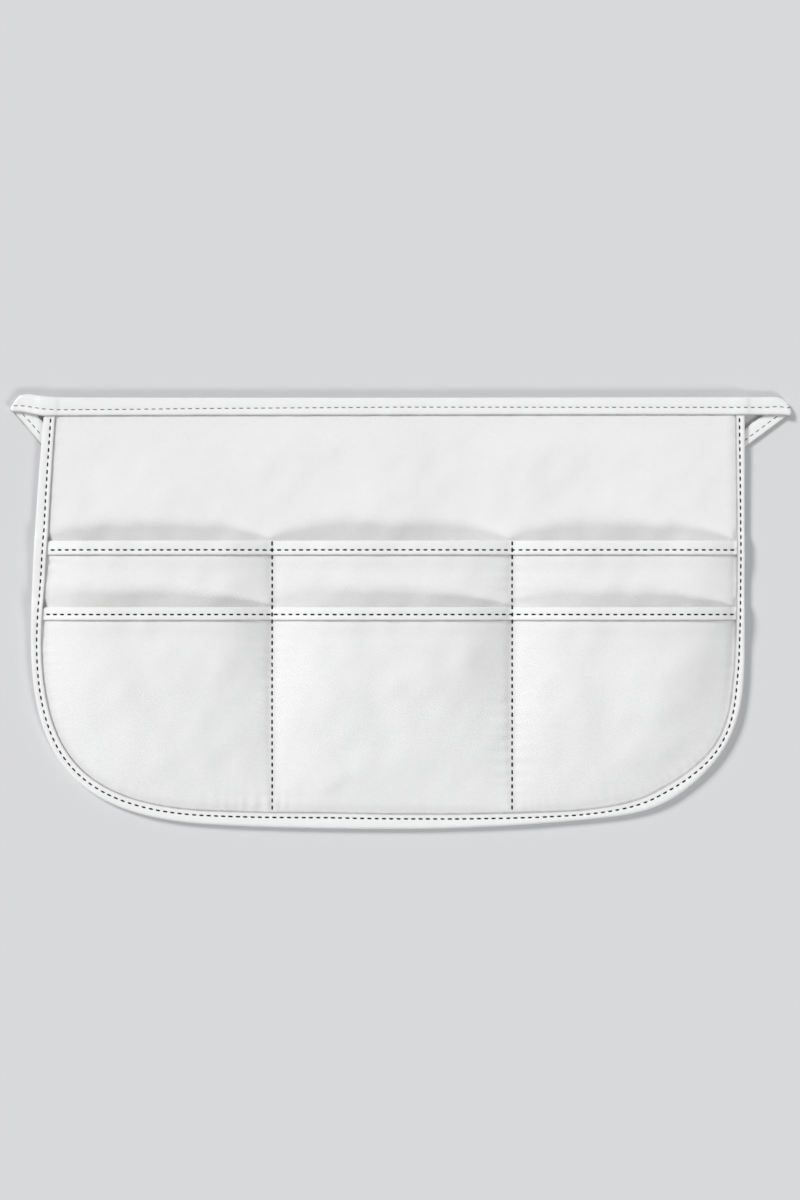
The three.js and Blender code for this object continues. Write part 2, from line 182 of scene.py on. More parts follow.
def edge_curve(step, run_on=0.0):
    """The bound edge as cubic curves between its points: each control point lies ahead of or behind its
    own point along the heading. run_on carries both ends straight on. Gives the place, length covered, way
    along, way inwards, width and stitch share at even steps."""
    place = np.stack([EDGE["x"], EDGE["y"]], axis=1)
    angle = np.radians(EDGE["heading"])
    way = np.stack([np.cos(angle), np.sin(angle)], axis=1)
    leave = place[:-1] + way[:-1] * EDGE["after"][:-1, None]
    arrive = place[1:] - way[1:] * EDGE["before"][1:, None]
    t = np.linspace(0.0, 1.0, CURVE_STEPS, endpoint=False)[None, :, None]
    controls = [control[:, None, :] for control in (place[:-1], leave, arrive, place[1:])]
    shares = [(1 - t) ** 3, 3 * t * (1 - t) ** 2, 3 * t**2 * (1 - t), t**3]
    curve = sum(share * control for share, control in zip(shares, controls)).reshape(-1, 2)
    curve = np.vstack([curve, place[-1]])
    count = np.linspace(0.0, len(place) - 1.0, len(curve))
    curve = np.vstack([curve[0] - way[0] * run_on, curve[1:-1], curve[-1] + way[-1] * run_on])
    run = covered(curve)
    even = np.linspace(0.0, run[-1], int(round(run[-1] / step)) + 1)
    points = points_at(curve, even)
    along_way = unit(np.gradient(points, axis=0))
    inward = np.stack([-along_way[:, 1], along_way[:, 0]], axis=1)
    even_count = np.interp(even, run, count)
    reach = int(round(FEED_SOFTNESS / step))
    fed = {
        name: softened(np.interp(even_count, FEED["count"], FEED[name]), reach)
        for name in ("width", "stitch")
    }
    return {"point": points, "along": even, "way": along_way, "inward": inward, **fed}


edge = edge_curve(EDGE_STEP)
print(f"bound edge {edge['along'][-1]:.3f} m long, {len(edge['along'])} sections")


# %% Sides and hem of a line inside the bound edge
def inset(curve, distance):
    """The edge moved inwards by a distance, which may change along it."""
    return curve["point"] + curve["inward"] * np.broadcast_to(distance, curve["along"].shape)[:, None]


def sides_of(line):
    """The left side and right side as x against rising y, and the hem as y against rising x."""
    bottom = np.argmin(line[:, 1])
    hem = line[np.argmin(line[:, 0]):np.argmax(line[:, 0]) + 1]
    left = line[bottom::-1]
    right = line[bottom:]
    return {
        "left": (left[:, 1], left[:, 0]),
        "right": (right[:, 1], right[:, 0]),
        "hem": (hem[:, 0], hem[:, 1]),
    }


inner_sides = sides_of(inset(edge, edge["width"]))
pouch_sides = sides_of(inset(edge, edge["width"] + SEAM_EASE))
cloth_edge = inset(edge, SEAM_INSET)
cloth_sides = sides_of(cloth_edge)
print(f"cloth {np.ptp(cloth_edge[:, 0]):.4f} m wide inside the binding's fold")

# %% Distance from the binding
NEAR_STEP = 2  # the nearest point is looked for among every second one


def edge_coordinates(x, y):
    """How far a point lies inside the binding's inner line, and the length along the edge there: the
    nearest of the edge's points, corrected by the offset along and across it."""
    flat = np.stack([np.ravel(x), np.ravel(y)], axis=1)
    near = edge["point"][::NEAR_STEP]
    gap = flat[:, None, :] - near[None, :, :]
    nearest = NEAR_STEP * np.argmin((gap**2).sum(axis=2), axis=1)
    offset = flat - edge["point"][nearest]
    inside = (offset * edge["inward"][nearest]).sum(axis=1) - edge["width"][nearest]
    along = edge["along"][nearest] + (offset * edge["way"][nearest]).sum(axis=1)
    return inside.reshape(np.shape(x)), along.reshape(np.shape(x))


# %% [markdown]
# ## Heights of the layers
# A cloth surface can be modelled by pushing vertices about, by simulation, or as a height over every
# place. The layers here are nearly flat and sewn to each other, so heights are the clearest: the panel is
# one function, and each pocket is the layer below it plus a thickness plus its own gape. Ripples that a
# seam pulls into the panel then pass through all the layers by themselves.

# %% Soft shapes that the heights are summed from
WAVE_SPREAD = (0.7, 1.4)  # lengths of the plane waves, as shares of the length asked for


def smooth_step(value):
    """0 below 0, 1 above 1, and an S-shaped rise between."""
    share = np.clip(value, 0.0, 1.0)
    return share * share * (3 - 2 * share)


def bell(distance, reach):
    """1 at no distance and almost 0 at twice the reach: e to the power of minus the squared share."""
    return np.exp(-((distance / reach) ** 2))


def unevenness(x, y, wavelength, seed, waves=9):
    """A sum of plane waves in seeded directions with lengths near one value, scaled to about -1 to 1."""
    rng = np.random.default_rng(seed)
    angle = rng.uniform(0.0, 2 * np.pi, waves)
    phase = rng.uniform(0.0, 2 * np.pi, waves)
    number = 2 * np.pi / (wavelength * rng.uniform(*WAVE_SPREAD, waves))
    turns = np.multiply.outer(x, number * np.cos(angle)) + np.multiply.outer(y, number * np.sin(angle))
    return np.sin(turns + phase).sum(axis=-1) / np.sqrt(waves)


# %% Seam ripples
RIPPLE_LENGTH = 0.0078  # from crest to crest along a seam
RIPPLE_REACH = 0.0085  # ripples fade over this distance from the seam
RIPPLE_START = 0.0016  # and are held flat over about this much beside it
RIPPLE_HEIGHT = 0.00060
RIPPLE_SHARE = 0.40  # usual strength; the rest of it comes and goes
RIPPLE_MOST = 1.2
RIPPLE_CHANGE = 0.070  # the strength changes over about this length of seam
RIPPLE_WANDER = 2.4  # radians that the crests wander from an even spacing
WANDER_LENGTH = 0.040  # over about this length of seam
DIVIDER_START = 0.006  # a divider's ripples begin over this distance below the rear mouth


def seam_ripple(away, along, seed):
    """Ripples across a seam: a wave along it whose phase wanders and whose strength comes and goes, fading
    away from the seam and held flat where the stitches are."""
    wander = RIPPLE_WANDER * unevenness(along, 0 * along, WANDER_LENGTH, seed)
    change = (1 - RIPPLE_SHARE) * unevenness(along, 0 * along, RIPPLE_CHANGE, seed + 1)
    strength = np.clip(RIPPLE_SHARE + change, 0.0, RIPPLE_MOST)
    wave = np.cos(2 * np.pi * along / RIPPLE_LENGTH + wander)
    fade = np.exp(-np.abs(away) / RIPPLE_REACH) * (1 - bell(away, RIPPLE_START))
    return RIPPLE_HEIGHT * strength * wave * fade


def divider_ripple(x, y):
    """Seam ripples along both dividers, below the rear mouth only."""
    sewn = smooth_step((REAR_MOUTH - y) / DIVIDER_START)
    return sewn * sum(seam_ripple(x - at, y, seed=40 + i) for i, at in enumerate(DIVIDERS))


# %% Ties under the panel
TIE_LENGTH = 0.350
TIE_TOP = 2 * TAPE_LAYER + FLOOR_EASE
TIE_SHOULDER = 0.005  # the panel comes down beside a tie over this width
# A tie turns under along a crease from fold_top to fold_low and runs off at its heading, in degrees. The
# crease is curved outwards by its bow, the band's corners are spread along it, and stitch is the place of
# the stitching there, as a share of the width.
TIES = [
    {"fold_top": np.array([-0.2689, 0.1527]), "fold_low": np.array([-0.2760, 0.1428]), "heading": -49.7,
     "bow": 0.0006, "spread": (0.0016, -0.0008), "stitch": 0.67},
    {"fold_top": np.array([0.2706, 0.1492]), "fold_low": np.array([0.2761, 0.1393]), "heading": -143.3,
     "bow": 0.0021, "spread": (0.0024, -0.0008), "stitch": 0.60},
]
for tie in TIES:
    turn = np.radians(tie["heading"])
    tie["way"] = np.array([np.cos(turn), np.sin(turn)])


def over_ties(x, y):
    """1 above a tie, falling to 0 beside it: a bell of the distance outside the tie's own strip."""
    share = np.zeros(np.shape(x))
    for tie in TIES:
        start = (tie["fold_top"] + tie["fold_low"]) / 2
        half = np.linalg.norm(tie["fold_top"] - tie["fold_low"]) / 2
        along = (x - start[0]) * tie["way"][0] + (y - start[1]) * tie["way"][1]
        across = np.abs((y - start[1]) * tie["way"][0] - (x - start[0]) * tie["way"][1])
        beyond = np.maximum(across - half, 0.0) + np.maximum(along - TIE_LENGTH, 0.0)
        share = np.maximum(share, bell(beyond, TIE_SHOULDER))
    return share


print(f"{len(TIES)} ties, {TIE_LENGTH:.3f} m long, lie up to {TIE_TOP * 1000:.1f} mm high under the panel")

# %% The panel's height
PANEL_WAVE = 0.00075
PANEL_WAVE_LENGTH = 0.085
PANEL_CRUMPLE = 0.00018
PANEL_CRUMPLE_LENGTH = 0.024
FREE_FROM_SEAM = 0.030  # waves in the cloth grow over this distance from a seam
PUFF = 0.00045  # the cloth stands up this much beside the binding that holds it down
PUFF_REACH = 0.0032


def tipped(y):
    """The apron tips up towards the band, where the ties pass below it: a straight slope from the hem."""
    return TIP_SLOPE * (y - HEM)


def panel_height(x, y):
    """Middle of the panel's cloth: the tape below it, the tip, room for the ties, seam ripples, a puff
    beside the binding, and soft waves that grow away from the seams."""
    rest = FLOOR_EASE + TAPE_LAYER + CLOTH / 2 + tipped(y)
    tie_room = np.maximum(TIE_TOP + FLOOR_EASE + CLOTH / 2 - rest, 0.0) * over_ties(x, y)
    inside, along = edge_coordinates(x, y)
    inside = np.maximum(inside, 0.0)
    ripple = seam_ripple(inside, along, seed=20) + divider_ripple(x, y)
    puff = PUFF * (1 - bell(inside, PUFF_REACH))
    free = smooth_step(inside / FREE_FROM_SEAM) * smooth_step((BAND_LOW - y) / FREE_FROM_SEAM)
    wave = PANEL_WAVE * (1 + unevenness(x, y, PANEL_WAVE_LENGTH, seed=3))
    crumple = PANEL_CRUMPLE * unevenness(x, y, PANEL_CRUMPLE_LENGTH, seed=4)
    return rest + tie_room + ripple + puff + free * (wave + crumple)


# %% Folds that the pockets have taken
FOLD_COLUMNS = ("x", "y", "angle", "length", "width", "height")  # angle in degrees
REAR_FOLDS = np.array([
    (-0.215, 0.022, -8.0, 0.050, 0.0085, 0.0006),
    (-0.118, 0.018, 24.0, 0.038, 0.0075, 0.0007),
    (-0.030, 0.024, 6.0, 0.060, 0.0095, -0.0005),
    (0.052, 0.016, -20.0, 0.036, 0.0080, 0.0006),
    (0.130, 0.022, 14.0, 0.050, 0.0090, -0.0005),
    (0.205, 0.018, -16.0, 0.040, 0.0080, 0.0006),
])
FRONT_FOLDS = np.array([
    (-0.206, -0.048, -52.0, 0.052, 0.0120, 0.0010),
    (-0.166, -0.074, -64.0, 0.046, 0.0100, -0.0008),
    (-0.122, -0.040, 58.0, 0.046, 0.0100, 0.0009),
    (-0.058, -0.044, -62.0, 0.050, 0.0110, 0.0010),
    (-0.012, -0.082, 84.0, 0.052, 0.0130, -0.0009),
    (0.044, -0.046, 60.0, 0.052, 0.0110, 0.0010),
    (0.112, -0.044, -58.0, 0.046, 0.0100, 0.0009),
    (0.150, -0.080, -80.0, 0.044, 0.0110, -0.0008),
    (0.196, -0.050, 54.0, 0.050, 0.0110, 0.0010),
])


def folds(x, y, rows):
    """Soft ridges and hollows: for each row, a bell along the fold times a narrower bell across it."""
    table = dict(zip(FOLD_COLUMNS, rows.T))
    turn = np.radians(table["angle"])
    right = np.subtract.outer(x, table["x"])
    up = np.subtract.outer(y, table["y"])
    along = bell(right * np.cos(turn) + up * np.sin(turn), table["length"])
    across = bell(up * np.cos(turn) - right * np.sin(turn), table["width"])
    return (table["height"] * along * across).sum(axis=-1)


print(f"{len(REAR_FOLDS)} soft folds in the rear pocket, {len(FRONT_FOLDS)} in the front one")

# %% Pouches and mouths
PINCH = 0.0030  # a seam holds the cloth down over about this distance
LIFT_END = 0.0220  # below a mouth, the lift from its tape is gone by here
LIFT_RUN = 0.0100
FLUTTER_REACH = 0.020  # the unevenness of a free edge fades over this distance below it
FLUTTER_WAVES = [{"height": 0.00045, "length": 0.060}, {"height": 0.00022, "length": 0.021}]


def pouch_fullness(x, y, mouth):
    """Which pouch a place is in, and how full it is there: an arch between the pouch's walls, times a rise
    from the hem seam to the mouth, both pinched flat at the seams."""
    left = np.interp(y, *pouch_sides["left"])
    right = np.interp(y, *pouch_sides["right"])
    pouch = (x > DIVIDERS[0]).astype(int) + (x > DIVIDERS[1])
    low = np.choose(pouch, [left, DIVIDERS[0], DIVIDERS[1]])
    high = np.choose(pouch, [DIVIDERS[0], DIVIDERS[1], right])
    across = np.clip((x - low) / (high - low), 0.0, 1.0)
    seam = np.interp(x, *pouch_sides["hem"])
    up = np.clip((y - seam) / (mouth - seam), 0.0, 1.0)
    from_wall = np.maximum(np.minimum(x - low, high - x), 0.0)
    from_hem = np.maximum(y - seam, 0.0)
    pinched = (1 - bell(from_wall, PINCH)) * (1 - bell(from_hem, PINCH))
    arch = 1 - np.abs(2 * across - 1) ** FLATNESS
    rise = 1 - (1 - up) ** SEAM_RISE
    return pouch, pinched * arch * rise


def mouth_lift(y, mouth):
    """Lift from the tape inside a mouth: whole behind the tape, gone a little way below it."""
    return TAPE_LAYER * smooth_step((y - (mouth - LIFT_END)) / LIFT_RUN)


def mouth_flutter(x, y, mouth, seed):
    """Unevenness of a pocket's free edge: a long and a short wave along it, strongest at the mouth."""
    near = np.exp(-np.maximum(mouth - y, 0.0) / FLUTTER_REACH)
    waves = enumerate(FLUTTER_WAVES)
    return near * sum(row["height"] * unevenness(x, 0 * x, row["length"], seed + i) for i, row in waves)


# %% The pockets' heights
FRONT_CRUMPLE = 0.00022
FRONT_CRUMPLE_LENGTH = 0.030


def rear_height(x, y):
    """Middle of the rear pocket's cloth: the panel, a layer, the mouth's lift and the pouch's own gape."""
    pouch, full = pouch_fullness(x, y, REAR_MOUTH)
    own = REAR_GAPE[pouch] + mouth_flutter(x, y, REAR_MOUTH, seed=60) + folds(x, y, REAR_FOLDS)
    return panel_height(x, y) + LAYER + mouth_lift(y, REAR_MOUTH) + own * full


def front_height(x, y):
    """Middle of the front pocket's cloth, worked out over the rear pocket in the same way."""
    pouch, full = pouch_fullness(x, y, FRONT_MOUTH)
    own = FRONT_GAPE[pouch] + mouth_flutter(x, y, FRONT_MOUTH, seed=70) + folds(x, y, FRONT_FOLDS)
    own = own + FRONT_CRUMPLE * unevenness(x, y, FRONT_CRUMPLE_LENGTH, seed=71)
    return rear_height(x, y) + LAYER + mouth_lift(y, FRONT_MOUTH) + own * full


front_middle = front_height(np.array([DIVIDERS.mean()]), np.array([FRONT_MOUTH]))[0]
print(f"front mouth stands {front_middle * 1000:.1f} mm high in its middle")

# %% [markdown]
# ## Meshes from arrays
# A grid of points becomes a mesh by listing, for every cell, the four corners round it. Sheets are closed:
# a top grid, a bottom grid one thickness below, and a wall round the rim. Tapes and stitches are closed
# too: a ring of points is carried along a line, and its first and last rings are capped.


# %% Mesh helpers
def grid_faces(rows, columns, closed=False):
    """Corners of each cell of a grid of points, row by row; closed joins the last column to the first."""
    number = np.arange(rows * columns).reshape(rows, columns)
    if closed:
        number = np.concatenate([number, number[:, :1]], axis=1)
    a, b = number[:-1, :-1], number[1:, :-1]
    c, d = number[1:, 1:], number[:-1, 1:]
    return np.stack([a, b, c, d], axis=-1).reshape(-1, 4)


def outward(points, faces):
    """The faces, turned round if the volume that they enclose comes out negative."""
    corner = points[faces]
    volume = np.einsum("ij,ij->", np.cross(corner[:, 0], corner[:, 1]), corner[:, 2])
    volume += np.einsum("ij,ij->", np.cross(corner[:, 0], corner[:, 2]), corner[:, 3])
    return faces if volume > 0 else faces[:, ::-1]


def add_piece(name, points, faces, uv, material, node=None, shade_and_wear=None):
    """One smooth closed mesh of four-cornered faces that rides on the apron. The UV map and the share of
    painted shade and wear, which the finish reads as an attribute, are given per point."""
    points = points.reshape(-1, 3)
    faces = outward(points, faces)
    mesh = bpy.data.meshes.new(name)
    mesh.from_pydata(points.tolist(), [], faces.tolist())
    mesh.polygons.foreach_set("use_smooth", np.ones(len(faces), bool))
    layer = mesh.uv_layers.new(name="along_and_across")
    layer.data.foreach_set("uv", uv.reshape(-1, 2)[faces.ravel()].astype(np.float32).ravel())
    # a share of painted shade beside the seams and at the tapes' noses, and of wear on the tapes' folds
    if shade_and_wear is not None:
        attribute = mesh.attributes.new("shade_and_wear", "FLOAT", "POINT")
        attribute.data.foreach_set("value", shade_and_wear.astype(np.float32).ravel())
    mesh.materials.append(material)
    piece = bpy.data.objects.new(name, mesh)
    bpy.context.scene.collection.objects.link(piece)
    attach(piece, "root")
    if node:
        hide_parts(node)
    print(f"{name}: {len(points)} points, {2 * len(faces)} triangles")
    return piece


# %% [markdown]
# ## Woven finishes
# Twill shows fine slanting ribs, and binding tape a plain weave cut on the slant. Both are one node group:
# two sets of waves across the threads, mixed into a height and a shade. A second group gives the slow
# change of tone that washed white cotton has, and turns the cloth grey with painted shade beside the seams
# and at the tapes' turned-in edges, and with a little wear on the tapes' folds. The shader stays in each
# material, with its own colour, sheen and roughness.


# %% Node helpers
def new_group(name, inputs, outputs):
    """An empty shader group with named sockets, and its input and output nodes."""
    group = bpy.data.node_groups.new(name, "ShaderNodeTree")
    for socket, kind, value in inputs:
        made = group.interface.new_socket(socket, in_out="INPUT", socket_type=kind)
        if value is not None:
            made.default_value = value
    for socket, kind in outputs:
        group.interface.new_socket(socket, in_out="OUTPUT", socket_type=kind)
    return group, group.nodes.new("NodeGroupInput"), group.nodes.new("NodeGroupOutput")


def math_node(tree, operation, first, second=None):
    """A Math node fed by sockets or plain numbers; gives its result socket."""
    node = tree.nodes.new("ShaderNodeMath")
    node.operation = operation
    for number, value in enumerate((first, second)):
        if isinstance(value, bpy.types.NodeSocket):
            tree.links.new(value, node.inputs[number])
        elif value is not None:
            node.inputs[number].default_value = value
    return node.outputs[0]


def noise_node(tree, vector, scale, detail, roughness=0.5):
    """A noise value on a vector socket."""
    node = tree.nodes.new("ShaderNodeTexNoise")
    node.inputs["Scale"].default_value = scale
    node.inputs["Detail"].default_value = detail
    node.inputs["Roughness"].default_value = roughness
    tree.links.new(vector, node.inputs["Vector"])
    return node.outputs["Fac"]


def colour_mix(tree, amount, low, high):
    """A Mix node between two colours, each a socket or a plain colour; gives its result socket."""
    node = tree.nodes.new("ShaderNodeMix")
    node.data_type = "RGBA"
    tree.links.new(amount, node.inputs["Factor"])
    sockets = [socket for socket in node.inputs if socket.type == "RGBA"]
    for socket, value in zip(sockets, (low, high)):
        if isinstance(value, bpy.types.NodeSocket):
            tree.links.new(value, socket)
        else:
            socket.default_value = (*value, 1.0)
    return next(socket for socket in node.outputs if socket.type == "RGBA")


# %% Weave group: height and shade of crossing threads
SLUB_NOISE = {"scale": 260.0, "detail": 2.0}
NOISE_MIDDLE = 0.5
CROWN_SHADE = -0.35  # the crowns of the threads are less shaded than the gaps


def weave_group():
    """Threads as sine waves along the two directions of the cloth. Slubs shift both waves."""
    group, inside, outside = new_group(
        "Crossing threads",
        [("Vector", "NodeSocketVector", None), ("Threads per metre", "NodeSocketFloat", 1000.0),
         ("Twill", "NodeSocketFloat", 0.0), ("Slub", "NodeSocketFloat", 1.5)],
        [("Height", "NodeSocketFloat"), ("Shade", "NodeSocketFloat")],
    )
    split = group.nodes.new("ShaderNodeSeparateXYZ")
    group.links.new(inside.outputs["Vector"], split.inputs[0])
    slub = noise_node(group, inside.outputs["Vector"], **SLUB_NOISE)
    off_middle = math_node(group, "SUBTRACT", slub, NOISE_MIDDLE)
    wobble = math_node(group, "MULTIPLY", off_middle, inside.outputs["Slub"])
    turns = math_node(group, "MULTIPLY", inside.outputs["Threads per metre"], 2 * np.pi)
    warp = math_node(group, "ADD", math_node(group, "MULTIPLY", split.outputs["X"], turns), wobble)
    weft = math_node(group, "ADD", math_node(group, "MULTIPLY", split.outputs["Y"], turns), wobble)
    check = math_node(group, "MULTIPLY", math_node(group, "SINE", warp), math_node(group, "SINE", weft))
    slant = math_node(group, "MULTIPLY", math_node(group, "ADD", warp, weft), 0.5)
    rib = math_node(group, "SINE", slant)
    plain = math_node(group, "SUBTRACT", 1.0, inside.outputs["Twill"])
    height = math_node(group, "ADD", math_node(group, "MULTIPLY", rib, inside.outputs["Twill"]),
                       math_node(group, "MULTIPLY", check, plain))
    shade = math_node(group, "ADD", math_node(group, "MULTIPLY", height, CROWN_SHADE), slub)
    group.links.new(height, outside.inputs["Height"])
    group.links.new(shade, outside.inputs["Shade"])
    return group


WEAVE = weave_group()
print("node group:", WEAVE.name)

# %% Tone group: slow change of whiteness, painted shade and wear
WIDE_NOISE = {"scale": 11.0, "detail": 3.0}
FINE_NOISE = {"scale": 120.0, "detail": 4.0, "roughness": 0.65}
WIDE_SHARE, FINE_SHARE = 0.55, 0.25  # how far each noise turns the tone towards its shaded colour
SHADE_AND_WEAR_BASE = 0.5  # painted shade and wear are multiplied by the finer noise and this much more
ROUGHNESS_BASE, ROUGHNESS_CHANGE = 0.84, 0.10


def tone_group():
    """Two noises of different size and the threads' own shade choose between a clean and a shaded colour;
    the finer noise also changes the roughness. Painted shade beside seams and at tape noses, and wear on
    tape folds, made patchy by the finer noise, turn the result towards grey."""
    group, inside, outside = new_group(
        "Cotton tone, painted shade and wear",
        [("Vector", "NodeSocketVector", None), ("Clean", "NodeSocketColor", None),
         ("Shaded", "NodeSocketColor", None), ("Shade and wear grey", "NodeSocketColor", None),
         ("Shade and wear", "NodeSocketFloat", 0.0), ("Thread shade", "NodeSocketFloat", 0.5),
         ("Thread depth", "NodeSocketFloat", 0.25)],
        [("Colour", "NodeSocketColor"), ("Roughness", "NodeSocketFloat")],
    )
    wide = noise_node(group, inside.outputs["Vector"], **WIDE_NOISE)
    fine = noise_node(group, inside.outputs["Vector"], **FINE_NOISE)
    slow = math_node(group, "ADD", math_node(group, "MULTIPLY", wide, WIDE_SHARE),
                     math_node(group, "MULTIPLY", fine, FINE_SHARE))
    thread = math_node(group, "MULTIPLY", inside.outputs["Thread shade"], inside.outputs["Thread depth"])
    amount = math_node(group, "ADD", slow, thread)
    washed = colour_mix(group, amount, inside.outputs["Clean"], inside.outputs["Shaded"])
    patchy = math_node(group, "MULTIPLY", inside.outputs["Shade and wear"], math_node(group, "ADD", fine, SHADE_AND_WEAR_BASE))
    colour = colour_mix(group, patchy, washed, inside.outputs["Shade and wear grey"])
    change = math_node(group, "MULTIPLY", fine, ROUGHNESS_CHANGE)
    group.links.new(colour, outside.inputs["Colour"])
    group.links.new(math_node(group, "ADD", ROUGHNESS_BASE, change), outside.inputs["Roughness"])
    return group


TONE = tone_group()
print("node group:", TONE.name)

# %% Material helpers
# grey of the painted shade beside seams and at tape noses, and of the wear on tape folds
SHADE_AND_WEAR_GREY = (0.22, 0.217, 0.21)


def new_material(name, source, turn, threads, twill, strength, distance):
    """A material whose weave, on Object or UV coordinates turned by an angle, raises a Bump. Gives the
    material, its shader, its coordinates and its weave node."""
    material = bpy.data.materials.new(name)
    material.use_nodes = True
    tree = material.node_tree
    shader = tree.nodes["Principled BSDF"]
    place = tree.nodes.new("ShaderNodeTexCoord")
    mapping = tree.nodes.new("ShaderNodeMapping")
    mapping.inputs["Rotation"].default_value[2] = np.radians(turn)
    tree.links.new(place.outputs[source], mapping.inputs["Vector"])
    weave = tree.nodes.new("ShaderNodeGroup")
    weave.node_tree = WEAVE
    weave.inputs["Threads per metre"].default_value = threads
    weave.inputs["Twill"].default_value = twill
    raised = tree.nodes.new("ShaderNodeBump")
    raised.inputs["Strength"].default_value = strength
    raised.inputs["Distance"].default_value = distance
    tree.links.new(mapping.outputs["Vector"], weave.inputs["Vector"])
    tree.links.new(weave.outputs["Height"], raised.inputs["Height"])
    tree.links.new(raised.outputs["Normal"], shader.inputs["Normal"])
    return material, shader, place, weave


def cloth_material(name, clean, shaded, source, turn, threads, twill, relief):
    """White cotton: the weave shades the tone; sheen and specular level are plain values on the shader."""
    material, shader, place, weave = new_material(
        name, source, turn, threads, twill, strength=0.5, distance=relief)
    tree = material.node_tree
    # the attribute of painted shade beside seams and at tape noses, and of wear on tape folds
    shade_and_wear = tree.nodes.new("ShaderNodeAttribute")
    shade_and_wear.attribute_name = "shade_and_wear"
    tone = tree.nodes.new("ShaderNodeGroup")
    tone.node_tree = TONE
    for socket, colour in (("Clean", clean), ("Shaded", shaded), ("Shade and wear grey", SHADE_AND_WEAR_GREY)):
        tone.inputs[socket].default_value = (*colour, 1.0)
    tree.links.new(place.outputs["Object"], tone.inputs["Vector"])
    tree.links.new(shade_and_wear.outputs["Fac"], tone.inputs["Shade and wear"])
    tree.links.new(weave.outputs["Shade"], tone.inputs["Thread shade"])
    tree.links.new(tone.outputs["Colour"], shader.inputs["Base Color"])
    tree.links.new(tone.outputs["Roughness"], shader.inputs["Roughness"])
    shader.inputs["Sheen Weight"].default_value = 0.12
    shader.inputs["Sheen Roughness"].default_value = 0.5
    shader.inputs["Specular IOR Level"].default_value = 0.25
    return material


def thread_material(name, colour, shade):
    """Twisted thread: the weave's ribs become strands that lie at a slant along each stitch."""
    material, shader, _, weave = new_material(
        name, "UV", turn=0.0, threads=2200.0, twill=1.0, strength=0.6, distance=0.0001)
    tree = material.node_tree
    tree.links.new(colour_mix(tree, weave.outputs["Shade"], colour, shade), shader.inputs["Base Color"])
    shader.inputs["Roughness"].default_value = 0.75
    shader.inputs["Specular IOR Level"].default_value = 0.15
    return material


# %% The apron's materials
CLOTH_TONES = {"clean": (0.93, 0.93, 0.925), "shaded": (0.82, 0.818, 0.805)}
TAPE_TONES = {"clean": (0.95, 0.95, 0.945), "shaded": (0.85, 0.848, 0.838)}
TAPE_WEAVE = {"source": "UV", "threads": 1100.0, "twill": 0.0, "relief": 0.00012}
TWILL = cloth_material(
    "white_twill", **CLOTH_TONES, source="Object", turn=0.0, threads=1150.0, twill=0.75, relief=0.00020)
BINDING = cloth_material("white_bias_binding", **TAPE_TONES, **TAPE_WEAVE, turn=45.0)
WAIST = cloth_material("white_waist_tape", **TAPE_TONES, **TAPE_WEAVE, turn=0.0)
BLACK_THREAD = thread_material("black_thread", (0.004, 0.004, 0.005), (0.012, 0.012, 0.013))
GREY_THREAD = thread_material("grey_thread", (0.10, 0.10, 0.105), (0.16, 0.16, 0.165))
finishes = (TWILL, BINDING, WAIST, BLACK_THREAD, GREY_THREAD)
print("materials:", ", ".join(material.name for material in finishes))

# %% [markdown]
# ## Cloth sheets
# Each sheet is three patches side by side, one for each pouch, so that a column of points lies exactly on
# each divider. A patch has four sides: a straight top, the rounded hem, and two walls. Blending the four
# sides (a Coons patch) fills a rounded corner evenly, where a plain grid's rows and columns would bunch up.


# %% Coons patches
def crowded(count, pull):
    """Shares from 0 to 1 that crowd towards both ends: an even spread less a sine of it."""
    even = np.linspace(0.0, 1.0, count)
    return even - pull * np.sin(2 * np.pi * even) / (2 * np.pi)


def at_shares(points, shares):
    """Points at shares of the length of a line of points."""
    return points_at(points, shares * covered(points)[-1])


def patch(top, low, left, right, across, down):
    """Coons patch: the blend of top and low, plus that of left and right, less that of the corners."""
    u = across[None, :, None]
    v = down[:, None, None]
    ruled = (1 - v) * top[None] + v * low[None] + (1 - u) * left[:, None] + u * right[:, None]
    corners = (1 - v) * ((1 - u) * top[0] + u * top[-1]) + v * ((1 - u) * low[0] + u * low[-1])
    return ruled - corners


# %% Plan points of a sheet
ACROSS_PULL = 0.45  # columns crowd towards the seams at both sides of a pouch
DOWN_PULL = 0.25  # rows crowd towards the top and the hem
left_corner = np.argmax(edge["inward"][:, 0] <= edge["inward"][:, 1])
from_right_end = np.argmax(edge["inward"][::-1, 1] >= -edge["inward"][::-1, 0])
right_corner = len(edge["along"]) - 1 - from_right_end
print(f"corners at {edge['along'][left_corner]:.3f} and {edge['along'][right_corner]:.3f} m along the edge")


